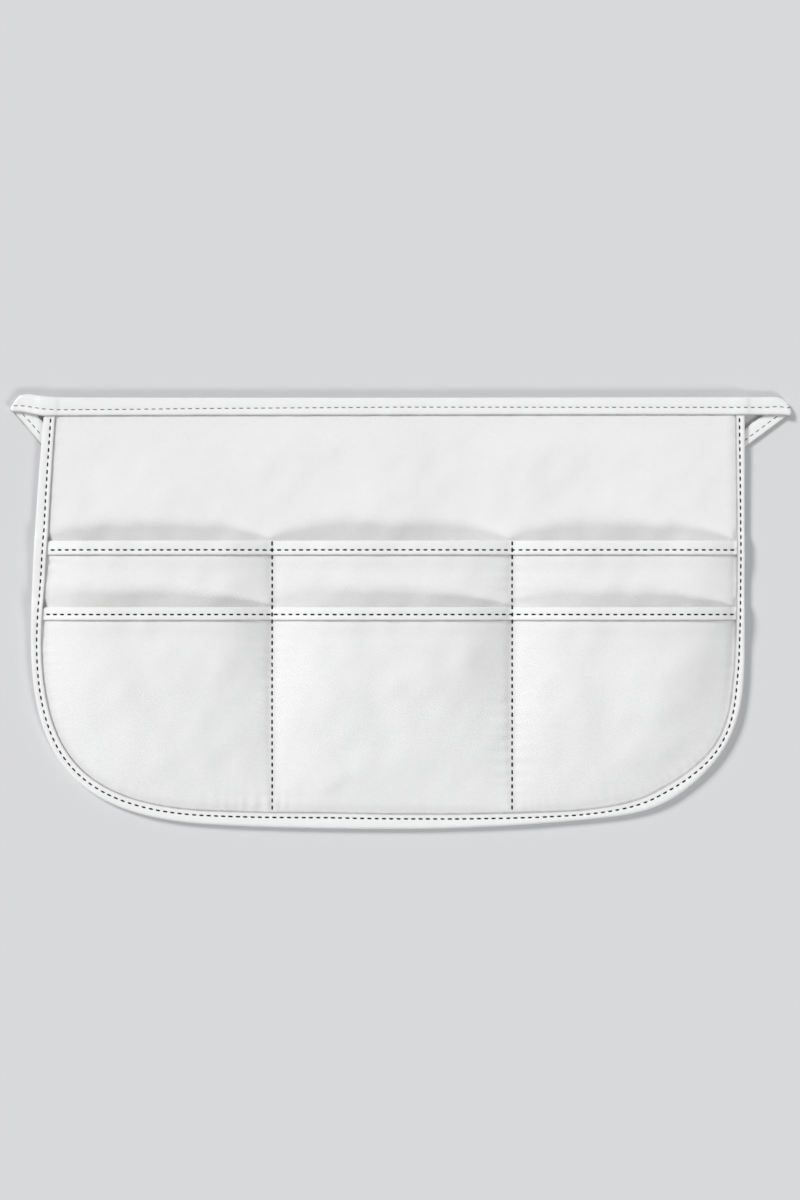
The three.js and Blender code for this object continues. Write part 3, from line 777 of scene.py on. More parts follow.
def sheet_plan(top, columns, rows):
    """Rows of plan points from a straight top edge down to the hem, through three patches side by side.
    The lower corners of the outer patches are where the edge runs at 45 degrees."""
    hem = cloth_edge[left_corner:right_corner + 1]
    feet = np.stack([DIVIDERS, np.interp(DIVIDERS, *cloth_sides["hem"])], axis=1)
    left = cloth_edge[:left_corner + 1]
    right = cloth_edge[:right_corner - 1:-1]
    across = crowded(columns, ACROSS_PULL)
    down = crowded(rows, DOWN_PULL)
    ends = [np.interp(top, *cloth_sides["left"]), *DIVIDERS, np.interp(top, *cloth_sides["right"])]
    heads = np.stack([ends, np.full(len(ends), top)], axis=1)
    walls = [
        np.vstack([heads[0], left[left[:, 1] < top]]),
        np.vstack([heads[1], feet[0]]),
        np.vstack([heads[2], feet[1]]),
        np.vstack([heads[3], right[right[:, 1] < top]]),
    ]
    between = (hem[:, 0] > DIVIDERS[0]) & (hem[:, 0] < DIVIDERS[1])
    hems = [
        np.vstack([hem[hem[:, 0] < DIVIDERS[0]], feet[0]]),
        np.vstack([feet[0], hem[between], feet[1]]),
        np.vstack([feet[1], hem[hem[:, 0] > DIVIDERS[1]]]),
    ]
    tops = [at_shares(heads[i:i + 2], across) for i in range(len(hems))]
    lows = [at_shares(line, across) for line in hems]
    walls = [at_shares(line, down) for line in walls]
    sides = zip(tops, lows, walls[:-1], walls[1:])
    patches = [patch(*four, across, down) for four in sides]
    return np.concatenate([patches[0], patches[1][:, 1:], patches[2][:, 1:]], axis=1)


# %% Painted shade beside the seams
SEAM_SHADE = 0.13
SEAM_SHADE_REACH = 0.0035


def seam_shade(x, y):
    """Share of painted shade on the cloth, darkest in the creases along the seams: a bell of the distance
    from the nearest of the binding and dividers.
    """
    inside = edge_coordinates(x, y)[0]
    from_divider = np.abs(np.subtract.outer(x, DIVIDERS)).min(axis=-1) + np.maximum(y - REAR_MOUTH, 0.0)
    return SEAM_SHADE * bell(np.minimum(np.maximum(inside, 0.0), from_divider), SEAM_SHADE_REACH)


# %% Closed sheets
SHEETS = [
    {"name": "panel_cloth", "node": "back_panel", "top": BAND_TOP, "height": panel_height,
     "columns": 66, "rows": 120},
    {"name": "rear_pocket_cloth", "node": "rear_pocket", "top": REAR_MOUTH, "height": rear_height,
     "columns": 80, "rows": 100},
    {"name": "front_pocket_cloth", "node": "front_pocket", "top": FRONT_MOUTH, "height": front_height,
     "columns": 80, "rows": 76},
]


def add_sheet(row):
    """A closed sheet: a top and a bottom, half a thickness from the middle height, and a wall round them."""
    plan = sheet_plan(row["top"] - SEAM_INSET, row["columns"], row["rows"])
    rows, columns = plan.shape[:2]
    count = rows * columns
    middle = row["height"](plan[..., 0], plan[..., 1])
    leaves = [np.dstack([plan, middle + side * CLOTH / 2]).reshape(-1, 3) for side in (1, -1)]
    number = np.arange(count).reshape(rows, columns)
    rim = np.concatenate([number[0, :-1], number[:-1, -1], number[-1, :0:-1], number[:0:-1, 0]])
    following = np.roll(rim, -1)
    wall = np.stack([rim, following, following + count, rim + count], axis=1)
    top = grid_faces(rows, columns)
    faces = np.concatenate([top, top[:, ::-1] + count, wall])
    uv = np.concatenate([plan.reshape(-1, 2)] * 2)
    # painted shade beside the seams, on both faces of the sheet
    shade_and_wear = np.tile(seam_shade(plan[..., 0], plan[..., 1]).ravel(), 2)
    points = np.concatenate(leaves)
    return add_piece(row["name"], points, faces, uv, TWILL, row["node"], shade_and_wear)


panel_cloth, rear_cloth, front_cloth = [add_sheet(row) for row in SHEETS]

# %% [markdown]
# ## Folded tape
# Every tape here is the same thing: a strip folded along its length over an edge, with a row of stitching
# through both leaves. So one function makes them all. It is given the strip between the folded edge and
# the open edge, and how far each leaf stands off it. The stitched line is drawn in, the tape swells a
# little on both sides of it, and the turned-in edge ends in a round nose. Painted shade darkens the nose
# and the leaf just before it, and the fold takes a little grey from wear.

# %% Points across a leaf
LEAF_HALF = 6  # steps from the fold to the stitching, and from there to the nose
FOLD_SHARE = 0.15  # of the width, taken by the round of the fold
FOLD_ROUND = 5  # points round the fold
CROWD = 1.6  # points crowd towards the stitching by this power
NOSE = 0.0011  # length of the round at the open edge
NOSE_TURN = np.radians([30.0, 58.0, 80.0, 87.0])  # the points round it
NOSE_FULL = np.concatenate([np.ones(2 * LEAF_HALF + 1), np.cos(NOSE_TURN)])  # share of the thickness left


def leaf_shares(stitch, width):
    """Shares of the width across a leaf, one row for each section: from the fold to the stitching and on
    to the nose, crowded towards the stitching, then round the nose."""
    step = np.linspace(0.0, 1.0, LEAF_HALF + 1)
    stitch, nose = stitch[:, None], (NOSE / width)[:, None]
    before = FOLD_SHARE + (stitch - FOLD_SHARE) * (1 - (1 - step) ** CROWD)
    after = stitch + (1 - nose - stitch) * step**CROWD
    return np.concatenate([before, after[:, 1:], 1 - nose + nose * np.sin(NOSE_TURN)], axis=1)


def tape_strip(fold_edge, open_edge, up, stitch, bow=0.0):
    """The flat strip of a tape: points across each section, on a line from the fold to the open edge. The
    line may bow sideways, by a cubic of the share of the width that is 0 at both edges and flat in the
    middle."""
    width = np.linalg.norm(open_edge - fold_edge, axis=1)
    share = leaf_shares(stitch, width)
    across = (open_edge - fold_edge)[:, None] * share[..., None]
    bowed = np.broadcast_to(bow, fold_edge.shape)[:, None] * (1 - np.abs(2 * share - 1) ** 3)[..., None]
    return {
        "point": fold_edge[:, None] + across + bowed,
        "up": np.broadcast_to(up, fold_edge.shape),
        "along": covered(fold_edge),
        "share": share,
        "width": width,
        "stitch": stitch,
    }


# %% Relief of a leaf
SWELL = 0.00016  # a leaf stands this much higher between its stitching and its folded edge
OPEN_SWELL = 0.8 * SWELL  # and this much between its stitching and its open edge
GROOVE = 0.00026
GROOVE_WIDTH = 0.0008
HOLE_SHARE = 0.35  # of the groove's depth, from its middle to a needle hole
SLOW_HEIGHT, SLOW_LENGTH = 0.00010, 0.030
STAND_OFF, STAND_OFF_LENGTH = 0.00008, 0.016
STAND_OFF_POWER = 3  # the open edge alone stands off


def leaf_relief(along, strip, seed):
    """Height added to a leaf: a swell on each side of the stitching, a groove along it that is deepest at
    each needle hole, slow unevenness, and an open edge that stands off a little."""
    along, share = along[:, None], strip["share"]
    width, stitch = strip["width"][:, None], strip["stitch"][:, None]
    swell = SWELL * np.sin(np.pi * np.clip(share / stitch, 0.0, 1.0))
    swell += OPEN_SWELL * np.sin(np.pi * np.clip((share - stitch) / (1 - stitch), 0.0, 1.0))
    hole = 1 - HOLE_SHARE + HOLE_SHARE * np.cos(2 * np.pi * along / STITCH_PITCH)
    groove = GROOVE * bell((share - stitch) * width, GROOVE_WIDTH) * hole
    slow = SLOW_HEIGHT * unevenness(along, share * width, SLOW_LENGTH, seed) * np.sin(np.pi * share)
    stand_off = STAND_OFF * (1 + unevenness(along, 0 * along, STAND_OFF_LENGTH, seed + 1))
    return swell - groove + slow + stand_off * share**STAND_OFF_POWER


def pitches(length, pitch=STITCH_PITCH):
    """The whole number of pitches that comes nearest to a length."""
    return int(round(length / pitch))


def stitch_run(line, kept):
    """Length along a row of stitching as seen from above, from the first point that is kept, stretched a
    little so that whole pitches fit up to the last."""
    run = covered(line[:, :2])
    first, last = run[kept][[0, -1]]
    return (run - first) * pitches(last - first) * STITCH_PITCH / (last - first)


# %% Tape mesh
# a little wear grey on the fold, and painted shade on each leaf's nose and just before it
FOLD_SOIL = 0.05
FRONT_OF_NOSE_SHADE = 0.16
NOSE_SHADE = (0.58, 1.0)  # painted shade where the nose begins to turn, and at its tip
LEAF_SHADE = np.concatenate([
    np.zeros(2 * LEAF_HALF), [FRONT_OF_NOSE_SHADE], np.linspace(*NOSE_SHADE, len(NOSE_TURN)),
])


def add_tape(name, node, material, strip, face, back, relief, back_share):
    """A closed folded tape. At each section a ring of points runs in along the outside of the face leaf,
    round the fold as half an ellipse, out along the outside of the back leaf, and returns by the insides.
    face and back are the heights of the two leaves over the strip. The relief is added on the outside of
    the face, and a share of it on that of the back. The insides follow only where the relief stands off,
    so that the stitched groove doesn't press into the cloth. Gives the outsides of both leaves."""
    points, up = strip["point"], strip["up"]
    inwards = unit(points[:, 1] - points[:, 0])
    back_relief = back_share * relief
    top, low = (face + relief)[:, 0], (back - back_relief)[:, 0]
    middle, reach = (top + low) / 2, (top - low) / 2
    turn = np.linspace(np.pi / 2, -np.pi / 2, FOLD_ROUND + 2)[1:-1]
    half = TAPE / 2

    def leaf(height):
        """The strip raised by a height."""
        return points + up[:, None] * height[..., None]

    def fold(thicker):
        """Half an ellipse round the folded edge, through both leaves' first points."""
        lift = middle[:, None] + (reach + thicker)[:, None] * np.sin(turn)
        depth = (FOLD_SHARE * strip["width"] - half + thicker)[:, None] * np.cos(turn)
        return points[:, :1] - inwards[:, None] * depth[..., None] + up[:, None] * lift[..., None]

    outer_face = leaf(face + relief - half + TAPE * NOSE_FULL)
    outer_back = leaf(back - back_relief + half - TAPE * NOSE_FULL)
    inner_face = leaf(face + np.maximum(relief, 0.0) - half)
    inner_back = leaf(back - np.maximum(back_relief, 0.0) + half)
    outside = np.concatenate([outer_face[:, ::-1], fold(half), outer_back], axis=1)
    inside = np.concatenate([inner_face[:, ::-1], fold(-half), inner_back], axis=1)
    ring = np.concatenate([outside, inside[:, ::-1]], axis=1)
    sections, count = ring.shape[:2]
    step = np.arange(count // 2 - 1)
    cap = np.stack([step, step + 1, count - 2 - step, count - 1 - step], axis=1)
    last = (sections - 1) * count
    faces = np.concatenate([grid_faces(sections, count, closed=True), cap, cap[:, ::-1] + last])
    along = np.broadcast_to(strip["along"][:, None], (sections, count))
    girth = np.cumsum(np.linalg.norm(np.diff(ring, axis=1, prepend=ring[:, :1]), axis=2), axis=1)
    # painted shade on the noses of the outsides, wear on the fold, none on the insides
    inside_shade_and_wear = np.zeros(count // 2)
    shade_and_wear = np.concatenate([LEAF_SHADE[::-1], np.full(FOLD_ROUND, FOLD_SOIL), LEAF_SHADE, inside_shade_and_wear])
    add_piece(name, ring, faces, np.dstack([along, girth]), material, node, np.tile(shade_and_wear, sections))
    return {"face": outer_face, "back": outer_back}


# %% [markdown]
# ## Tape over the pocket mouths
# The mouths carry most of the wear, so they are bound too. A straight ribbon would cut through the waves
# of the cloth, so each tape takes the height of its own pocket's cloth at every point, with one leaf on
# each side of it. Its two ends are caught under the tape of the sides.

# %% Mouth tapes
TUCK = 0.0045  # how far a mouth tape runs in under the tape of the sides
PITCH_SECTIONS = 4  # sections of tape to each stitch
CAUGHT = slice(PITCH_SECTIONS, -PITCH_SECTIONS)  # stitching stops one stitch short of a mouth tape's ends
MOUTH_BACK_RELIEF = 0.3  # share of the relief that shows on the back leaf
UP = np.array([0.0, 0.0, 1.0])
MOUTHS = [
    {"name": "rear_mouth_tape", "node": "rear_pocket_binding", "mouth": REAR_MOUTH,
     "height": rear_height, "width": 0.0106, "stitch_drop": 0.0066, "seed": 80},
    {"name": "front_mouth_tape", "node": "front_pocket_binding", "mouth": FRONT_MOUTH,
     "height": front_height, "width": 0.0097, "stitch_drop": 0.0051, "seed": 90},
]


def add_mouth_tape(row):
    """The strip runs level from side to side. Its leaves lie half a cloth and half a tape off the middle of
    the cloth."""
    y = row["mouth"]
    ends = [np.interp(y, *inner_sides["left"]) - TUCK, np.interp(y, *inner_sides["right"]) + TUCK]
    x = np.linspace(*ends, pitches(ends[1] - ends[0]) * PITCH_SECTIONS + 1)
    fold_edge = np.stack([x, np.full_like(x, y), np.zeros_like(x)], axis=1)
    open_edge = fold_edge - np.array([0.0, row["width"], 0.0])
    strip = tape_strip(fold_edge, open_edge, UP, np.full_like(x, row["stitch_drop"] / row["width"]))
    relief = leaf_relief(stitch_run(fold_edge, CAUGHT), strip, row["seed"])
    cloth = row["height"](strip["point"][..., 0], strip["point"][..., 1])
    stand = (CLOTH + TAPE) / 2 + EASE
    return add_tape(row["name"], row["node"], BINDING, strip, cloth + stand, cloth - stand,
                    relief, MOUTH_BACK_RELIEF)


mouth_tapes = [add_mouth_tape(row) for row in MOUTHS]

# %% [markdown]
# ## Tape round the sides and hem
# This tape takes in everything: the panel alone at the top, then the rear pocket, then both pockets. Its
# face steps up where each pocket begins, so the stack of layers is summed along the edge and smoothed, as
# a real tape bridges a step. Its two ends run on under the waistband.

# %% Stack of layers along the edge
RUN_ON = 0.0065  # the tape goes on this far past the outline's ends
UNDER_BAND = 0.001  # and its stitching this far under the band
BRIDGE = 3  # sections over which the tape bridges a step
bound = edge_curve(STITCH_PITCH / PITCH_SECTIONS, RUN_ON)
below_band = bound["point"][:, 1] < BAND_LOW + UNDER_BAND
print(f"edge tape {bound['along'][-1]:.3f} m long, {below_band.sum()} of its sections below the band")


def stack_top(x, y):
    """Top of the layers at the bound edge: the panel, each pocket that has begun, and the mouth tapes
    caught there, widened and then averaged along the edge."""
    top = panel_height(x, y) + CLOTH / 2
    for row in MOUTHS:
        top = top + (y < row["mouth"]) * (LAYER + mouth_lift(y, row["mouth"]))
        top = top + ((y < row["mouth"]) & (y > row["mouth"] - row["width"])) * TAPE_LAYER
    padded_top = np.pad(top, BRIDGE, mode="edge")
    widest = np.max([np.roll(padded_top, shift) for shift in range(-BRIDGE, BRIDGE + 1)], axis=0)
    return softened(widest[BRIDGE:-BRIDGE], BRIDGE)


# %% Edge tape
SEAM_BACK_RELIEF = 0.4  # share of the relief that shows on the back leaf, here and on the waist tape


def add_edge_tape():
    """The strip runs inwards from the bound edge, with a leaf on the stack and a leaf under the panel."""
    level = np.zeros(len(bound["along"]))
    fold_edge = np.column_stack([bound["point"], level])
    open_edge = np.column_stack([inset(bound, bound["width"]), level])
    strip = tape_strip(fold_edge, open_edge, UP, bound["stitch"])
    along = stitch_run(inset(bound, bound["width"] * bound["stitch"]), below_band)
    relief = leaf_relief(along, strip, seed=100)
    x, y = inset(bound, bound["width"] / 2).T
    face = stack_top(x, y) + EASE + TAPE / 2
    back = panel_height(x, y) - CLOTH / 2 - EASE - TAPE / 2
    return add_tape("edge_tape", "edge_binding", BINDING, strip, face[:, None],
                    back[:, None], relief, SEAM_BACK_RELIEF)


edge_tape = add_edge_tape()

# %% [markdown]
# ## Waistband and ties
# Band and ties are one long tape. In the middle it is folded over the panel's top edge; past the panel its
# two leaves lie together as a tie, and each tie turns under along a slanted crease and runs away below the
# apron. Separate pieces would show a joint at the creases, so the tape is one strip whose way up rolls over
# there.

# %% Band stations
TIE_STITCH = 0.60  # share of the width from the folded edge
TIE_HEIGHT = (TIE_TOP + FLOOR_EASE) / 2
CREASE_RADIUS = TAPE_LAYER + EASE
BAND_END_HEIGHT = TIE_HEIGHT + 2 * CREASE_RADIUS  # middle of the tape just before a crease
CREASE_IN = CREASE_RADIUS + TAPE_LAYER  # the strip stops this far inside the crease's outer line
CREASE_FADE = 0.014  # along the band and along the tie, the crease's bow dies out over this length
CREASE_STEPS = 9
BAND_SOFTNESS = 3  # sections over which the band's bends are rounded, both ways
TIE_STEP = 0.003
BAND_COLUMNS = ("top_x", "top_y", "low_x", "low_y", "stitch")
BAND_ROWS = np.array([
    (-0.2635, 0.1538, -0.2680, 0.1408, 0.655),
    (-0.2500, 0.1518, -0.2529, 0.1378, 0.630),
    (-0.2400, 0.1512, -0.2420, 0.1379, 0.660),
    (-0.2050, 0.1511, -0.2050, 0.1380, 0.645),
    (-0.1400, 0.1510, -0.1400, 0.1382, 0.600),
    (0.0000, 0.1510, 0.0000, 0.1384, 0.530),
    (0.1500, 0.1512, 0.1500, 0.1386, 0.555),
    (0.2540, 0.1514, 0.2560, 0.1386, 0.565),
    (0.2650, 0.1515, 0.2690, 0.1387, 0.570),
])
for tie in TIES:
    tie["rise"] = unit(tie["fold_top"] - tie["fold_low"])
    out = np.array([tie["rise"][1], -tie["rise"][0]])
    tie["out"] = out * np.sign(out[0] * tie["fold_top"][0])
    tie["corners"] = [tie[end] - tie["out"] * CREASE_IN for end in ("fold_top", "fold_low")]
print(f"band drawn through {len(BAND_ROWS)} rows between {len(TIES)} creases")


def band_end(tie):
    """The last row of the band at a crease: two corners, spread along it, and the stitching's place."""
    corners = [corner + tie["rise"] * past for corner, past in zip(tie["corners"], tie["spread"])]
    return np.concatenate([*corners, [tie["stitch"]]])


def band_lines():
    """Top and lower edge of the band and its stitching from crease to crease: straight pieces through the
    rows, rounded by averaging over a few sections."""
    rows = np.vstack([band_end(TIES[0]), BAND_ROWS, band_end(TIES[1])])
    run = covered((rows[:, :2] + rows[:, 2:4]) / 2)
    even = np.linspace(0.0, run[-1], pitches(run[-1]) * PITCH_SECTIONS + 1)
    lines = [softened(np.interp(even, run, column), BAND_SOFTNESS) for column in rows.T]
    return dict(zip(BAND_COLUMNS, lines))


# %% Band between the creases
SPAN_COLUMNS = ("low", "high", "run")  # a change takes the run inside each end
LEVEL_SPAN = dict(zip(SPAN_COLUMNS, (-0.2680, 0.2590, 0.014)))


def within(x, low, high, run):
    """1 between two places and 0 outside them, with an S-shaped change inside each."""
    return smooth_step((x - low) / run) * smooth_step((high - x) / run)


def band_section():
    """Edges, way up, bow and stitching of the band: on the panel's height, and past its sides down to that
    of the creases."""
    lines = band_lines()
    x = (lines["top_x"] + lines["low_x"]) / 2
    y = (lines["top_y"] + lines["low_y"]) / 2
    z = BAND_END_HEIGHT + (panel_height(x, y) - BAND_END_HEIGHT) * within(x, **LEVEL_SPAN)
    run = covered(np.stack([x, y], axis=1))
    near = [np.maximum(1 - length / CREASE_FADE, 0.0) for length in (run, run[-1] - run)]
    bows = [tie["bow"] * np.array([*tie["out"], 0.0]) for tie in TIES]
    return {
        "fold_edge": np.stack([lines["top_x"], lines["top_y"], z], axis=1),
        "open_edge": np.stack([lines["low_x"], lines["low_y"], z], axis=1),
        "up": np.broadcast_to(UP, (len(x), 3)),
        "bow": sum(np.multiply.outer(share, bow) for share, bow in zip(near, bows)),
        "stitch": lines["stitch"][:, None],
    }


# %% Ties, and the whole strip
def tie_section(tie):
    """Edges, way up, bow and stitching of a tie: half a turn about the crease, then straight on."""
    roll = np.linspace(0.0, np.pi, CREASE_STEPS + 1)[1:, None]
    out = np.array([*tie["out"], 0.0])
    up = out * np.sin(roll) + UP * np.cos(roll)
    centre = np.array([0.0, 0.0, (BAND_END_HEIGHT + TIE_HEIGHT) / 2])
    run = np.arange(TIE_STEP, TIE_LENGTH, TIE_STEP)[:, None]
    edges = []
    for corner, past in zip(tie["corners"], tie["spread"]):
        slide = np.maximum(np.cos(roll), 0.0) * past * np.array([*tie["rise"], 0.0])
        rolled = np.array([*corner, 0.0]) + slide + centre + CREASE_RADIUS * up
        edges.append(np.vstack([rolled, rolled[-1] + run * np.array([*tie["way"], 0.0])]))
    fade = np.concatenate([np.ones((CREASE_STEPS, 1)), np.maximum(1 - run / CREASE_FADE, 0.0)])
    return {
        "fold_edge": edges[0],
        "open_edge": edges[1],
        "up": np.vstack([up, np.broadcast_to(-UP, (len(run), 3))]),
        "bow": tie["bow"] * fade * out,
        "stitch": TIE_STITCH + (tie["stitch"] - TIE_STITCH) * fade,
    }


left_tie, band, right_tie = tie_section(TIES[0]), band_section(), tie_section(TIES[1])
waist = {key: np.vstack([left_tie[key][::-1], band[key], right_tie[key]]) for key in band}
print(f"waist tape {covered(waist['fold_edge'])[-1]:.3f} m long")

# %% Waist tape
PANEL_SPAN = dict(zip(SPAN_COLUMNS, (-0.2560, 0.2480, 0.008)))
LEFT_BINDING_SPAN = dict(zip(SPAN_COLUMNS, (-0.2570, -0.2390, 0.004)))
RIGHT_BINDING_SPAN = dict(zip(SPAN_COLUMNS, (0.2315, 0.2475, 0.004)))
TIE_RELIEF = 0.35  # share of the relief that is left along the ties


def leaf_gap(x, turned):
    """Half the distance between the leaves: together along the ties, open round the panel and its tape."""
    bindings = within(x, **LEFT_BINDING_SPAN) + within(x, **RIGHT_BINDING_SPAN)
    spread = LAYER / 2 * within(x, **PANEL_SPAN) + TAPE_LAYER * bindings
    return TAPE_LAYER / 2 + np.where(turned, 0.0, spread)


def add_waist_tape():
    """One strip from the end of the left tie to that of the right. Its relief is flatter along the ties."""
    strip = tape_strip(waist["fold_edge"], waist["open_edge"], waist["up"], waist["stitch"][:, 0],
                       waist["bow"])
    turned = waist["up"][:, 2] < 1.0
    relief = leaf_relief(strip["along"], strip, seed=110) * np.where(turned, TIE_RELIEF, 1.0)[:, None]
    gap = leaf_gap(waist["fold_edge"][:, 0], turned)[:, None]
    return add_tape("waist_band_and_ties", "waist_tape", WAIST, strip, gap, -gap,
                    relief, SEAM_BACK_RELIEF)


waist_tape = add_waist_tape()

# %% [markdown]
# ## Stitching
# A lockstitch row shows as dashes on both sides of the cloth. Bump can't give that from every angle, so
# every stitch is a little thread of its own: a ring of six points carried over a low arch whose ends dive
# into the cloth. All the stitches of a row are one mesh, worked out together.

# %% Stitch mesh
STITCH_STEPS = np.array([0.0, 0.05, 0.15, 0.3, 0.5, 0.7, 0.85, 0.95, 1.0])
STITCH_SIDES = 6
STITCH_CAP = np.array([[0, 1, 2, 3], [0, 3, 4, 5]])  # the six-sided end as two faces
STITCH_TAPER = 0.35  # share of the width that is gone at both ends
STITCH_RISE = 0.10  # share of the height by which the middle stands over the line
STITCH_SINK = 0.55  # share of the height by which both ends lie lower than the middle
ARCH_POWER = 0.25  # a lower power gives a flatter arch with steeper ends
PLACE_SPREAD = 0.012  # share of the pitch by which a stitch is off its place
LENGTH_SPREAD = 0.035  # share of the length by which stitches differ
UNDERSIDE_HEIGHT = 0.6  # share of a stitch's height that is left on the underside


def stitch_places(rows, pitch, axes, seed):
    """Points along every stitch of some rows, and the way up there: stitches at even pitch along each
    line, whose place and length vary a little. Every second row is on the underside, where it is drawn
    into the cloth and its way up is shorter."""
    rng = np.random.default_rng(seed)
    places, ups = [], []
    for number, (line, up) in enumerate(rows):
        run = covered(line[:, :axes])
        count = pitches(run[-1], pitch)
        middle = (np.arange(count) + 0.5 + rng.normal(0.0, PLACE_SPREAD, count)) * run[-1] / count
        half = STITCH_LENGTH / 2 * (1 + rng.normal(0.0, LENGTH_SPREAD, count))
        at = middle[:, None] + half[:, None] * (2 * STITCH_STEPS - 1)
        places.append(columns_at(line, run, at))
        drawn_in = UNDERSIDE_HEIGHT if number % 2 else 1.0
        ups.append(drawn_in * unit(columns_at(np.broadcast_to(up, line.shape), run, at)))
    return np.vstack(places), np.vstack(ups)


def add_stitches(name, rows, thread, seed, pitch=STITCH_PITCH, axes=2):
    """Stitches along the lines of some rows. A stitch follows its line, sinks as a flat arch towards both
    ends, and narrows there. Pitches are measured over x and y, or over all three axes."""
    place, up = stitch_places(rows, pitch, axes, seed)
    side = unit(np.cross(up, np.gradient(place, axis=1)))
    arch = np.maximum(np.sin(np.pi * STITCH_STEPS), 0.0) ** ARCH_POWER
    rise = thread["height"] * (STITCH_RISE + STITCH_SINK * (arch - 1))
    centre = place + up * rise[None, :, None]
    angle = np.arange(STITCH_SIDES) * 2 * np.pi / STITCH_SIDES
    narrow = 1 - STITCH_TAPER * (1 - arch)
    sideways = (thread["width"] / 2 * narrow[:, None] * np.cos(angle))[None, ..., None] * side[:, :, None]
    upwards = (thread["height"] / 2 * narrow[:, None] * np.sin(angle))[None, ..., None] * up[:, :, None]
    points = centre[:, :, None] + sideways + upwards
    rings, sides = len(STITCH_STEPS), STITCH_SIDES
    one = grid_faces(rings, sides, closed=True)
    one = np.concatenate([one, STITCH_CAP, STITCH_CAP[:, ::-1] + (rings - 1) * sides])
    faces = (np.arange(len(place))[:, None, None] * rings * sides + one).reshape(-1, 4)
    along = np.broadcast_to((STITCH_STEPS * STITCH_LENGTH)[None, :, None], points.shape[:3])
    girth = np.broadcast_to((angle * thread["width"] / 2)[None, None, :], points.shape[:3])
    add_piece(name, points, faces, np.stack([along, girth], axis=-1), thread["material"])


# %% Lines down the dividers
CROSSINGS = [row["mouth"] - row["stitch_drop"] for row in MOUTHS]
DIVIDER_PITCH = (CROSSINGS[0] - CROSSINGS[1]) / pitches(CROSSINGS[0] - CROSSINGS[1])
THREAD_LEAD = 0.0004  # a thread that climbs a fold starts to rise this far before it
LINE_POINTS = 400
print(f"dividers sewn at a pitch of {DIVIDER_PITCH * 1000:.2f} mm")


def rounded(share):
    """Height of a quarter circle at a share of its width: 0 at 0, and 1 from 1 on."""
    return np.sqrt(1 - (1 - np.clip(share, 0.0, 1.0)) ** 2)


def tape_over(y, row):
    """Height that a mouth tape adds to its cloth under a thread: a leaf and its swell, rounded down to the
    cloth's top at the open edge and to the cloth's middle just before the fold."""
    full = TAPE_LAYER + SWELL
    from_fold = row["mouth"] + THREAD_LEAD - y
    open_edge = full * rounded((row["width"] + THREAD_LEAD - from_fold) / NOSE)
    fold = (full + CLOTH / 2) * (1 - rounded(from_fold / (FOLD_SHARE * row["width"])))
    return (from_fold > 0) * (open_edge - fold)


def divider_lines(x):
    """Top and underside of the apron along a divider, in two runs. The long one starts half a pitch above
    the rear mouth's own row, and the pitch fits the distance to the front mouth's, so that a stitch lies
    on each crossing."""
    start = CROSSINGS[0] + DIVIDER_PITCH / 2
    count = int((start - np.interp(x, *inner_sides["hem"])) / DIVIDER_PITCH)
    lines = []
    for high, low in ((REAR_MOUTH, start), (start, start - count * DIVIDER_PITCH)):
        y = np.linspace(high, low, LINE_POINTS)
        at = np.full_like(y, x)
        cloth = np.where(y < FRONT_MOUTH + THREAD_LEAD, front_height(at, y), rear_height(at, y))
        top = cloth + CLOTH / 2 + sum(tape_over(y, row) for row in MOUTHS)
        under = panel_height(at, y) - CLOTH / 2
        lines += [(np.stack([at, y, top], axis=1), UP), (np.stack([at, y, under], axis=1), -UP)]
    return lines


# %% Rows of stitches
BOLD = {"width": 0.00125, "height": 0.00060, "material": BLACK_THREAD}
FINE = {"width": 0.00062, "height": 0.00050, "material": GREY_THREAD}


def tape_lines(tape, kept, up):
    """The lines of points on a tape's face and back that its stitching follows, over the sections that are
    kept, each with its way up."""
    return [(tape["face"][kept, LEAF_HALF], up), (tape["back"][kept, LEAF_HALF], -up)]


for row, tape in zip(MOUTHS, mouth_tapes):
    add_stitches(row["name"].replace("tape", "stitches"), tape_lines(tape, CAUGHT, UP), BOLD, row["seed"])
add_stitches("edge_stitches", tape_lines(edge_tape, below_band, UP), BOLD, seed=120)
sewn_lines = [line for x in DIVIDERS for line in divider_lines(x)]
add_stitches("divider_stitches", sewn_lines, BOLD, seed=130, pitch=DIVIDER_PITCH)
waist_lines = tape_lines(waist_tape, slice(None), waist["up"])
add_stitches("waist_stitches", waist_lines, FINE, seed=140, axes=3)

# %% [markdown]

# %% [markdown]
# ## Floor, light and camera
# White cloth only reads by its shadows, so a soft light comes in low from the upper left, and a weaker one
# from the lower right draws the pocket mouths. Both are distant lights, which fall evenly on the whole
# floor; area lights would leave bright patches on it. The room is as bright as the floor along the horizon
# and dimmer overhead. The camera looks straight down from far away, which keeps the apron's proportions.

# %% Floor
FLOOR_SIZE = 60.0
FLOOR_TONE = (0.70, 0.70, 0.705)


def add_floor():
    """One square, level with the underside of the apron."""
    corners = np.array([(-1, -1, 0), (1, -1, 0), (1, 1, 0), (-1, 1, 0)]) * FLOOR_SIZE / 2
    mesh = bpy.data.meshes.new("floor")
    mesh.from_pydata(corners.tolist(), [], [(0, 1, 2, 3)])
    material = bpy.data.materials.new("pale_floor")
    material.use_nodes = True
    shader = material.node_tree.nodes["Principled BSDF"]
    shader.inputs["Base Color"].default_value = (*FLOOR_TONE, 1.0)
    shader.inputs["Roughness"].default_value = 0.9
    shader.inputs["Specular IOR Level"].default_value = 0.1
    mesh.materials.append(material)
    floor = bpy.data.objects.new("floor", mesh)
    bpy.context.scene.collection.objects.link(floor)
    floor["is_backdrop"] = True


add_floor()
print(f"floor {FLOOR_SIZE:.0f} m square")


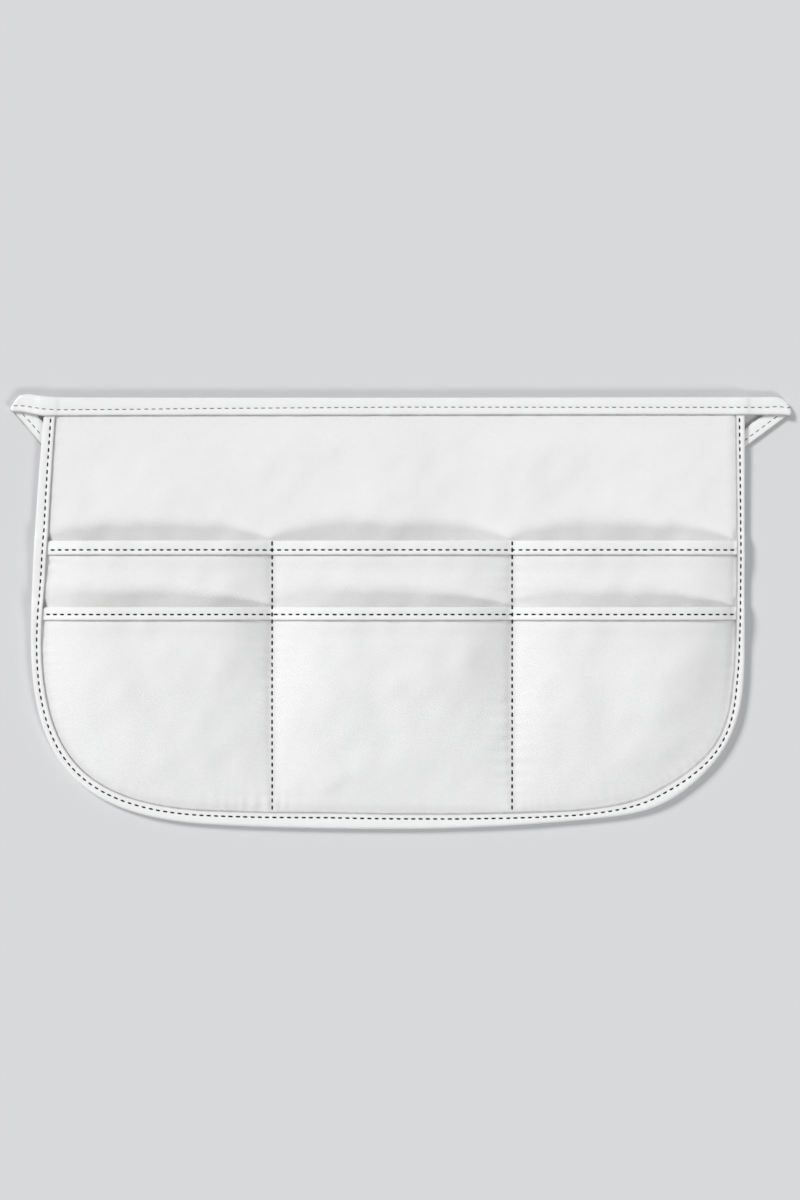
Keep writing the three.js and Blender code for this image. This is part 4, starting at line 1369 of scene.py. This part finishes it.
# %% Lights
def add_light(name, place, spread, strength):
    """A distant light that shines from a place towards the apron; its spread in degrees softens shadows."""
    lamp = bpy.data.lights.new(name, "SUN")
    lamp.angle = np.radians(spread)
    lamp.energy = strength
    light = bpy.data.objects.new(name, lamp)
    light.location = place
    light.rotation_euler = (-Vector(place)).to_track_quat("-Z", "Y").to_euler()
    bpy.context.scene.collection.objects.link(light)
    print(f"{name} light of strength {strength}")


add_light("key", place=(-2.9, 2.5, 2.4), spread=17.0, strength=2.80)
add_light("second", place=(2.2, -3.0, 2.2), spread=19.0, strength=1.42)

# %% Room
ROOM_WALL = (0.693, 0.698, 0.708)
ROOM_ABOVE = (0.275, 0.28, 0.29)
WALL_TOP = 0.2  # the walls fade out where the way upwards has risen by this share


def add_room():
    """A background that changes with the square of the way upwards, from pale walls to a dimmer room."""
    world = bpy.data.worlds.new("pale_room")
    world.use_nodes = True
    tree = world.node_tree
    split = tree.nodes.new("ShaderNodeSeparateXYZ")
    tree.links.new(tree.nodes.new("ShaderNodeTexCoord").outputs["Generated"], split.inputs[0])
    rise = math_node(tree, "MINIMUM", math_node(tree, "MAXIMUM", split.outputs["Z"], 0.0), WALL_TOP)
    share = math_node(tree, "POWER", math_node(tree, "DIVIDE", rise, WALL_TOP), 2.0)
    colour = colour_mix(tree, share, ROOM_WALL, ROOM_ABOVE)
    tree.links.new(colour, tree.nodes["Background"].inputs["Color"])
    bpy.context.scene.world = world


add_room()
print(f"room {ROOM_WALL[1]} bright at the horizon and {ROOM_ABOVE[1]} overhead")

# %% Camera
FRAME_HEIGHT = 0.8482  # of a plane through the apron, from the bottom of the picture to its top
FRAME_PLANE = 0.003  # height of that plane: about that of the bound edge
SENSOR = 36.0
LENS = 135.0
VIEW_CENTRE = (-0.0002, 0.0081)
camera_data = bpy.data.cameras.new("camera")
camera_data.sensor_fit = "VERTICAL"
camera_data.sensor_height = SENSOR
camera_data.lens = LENS
camera = bpy.data.objects.new("camera", camera_data)
camera.location = (*VIEW_CENTRE, FRAME_HEIGHT * LENS / SENSOR + FRAME_PLANE)
bpy.context.scene.collection.objects.link(camera)
bpy.context.scene.camera = camera
bpy.context.scene.view_settings.view_transform = "Standard"
print(f"camera {camera.location.z:.2f} m above the floor")

# %% [markdown]
# ## Size of the dressed apron
# The box round the dressed apron is worked out and printed.

# %% Box of the dressed apron
dressed_box = [list(corner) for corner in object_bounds()]
low, high = np.round(dressed_box, 4).tolist()
print("dressed apron from", low, "to", high)
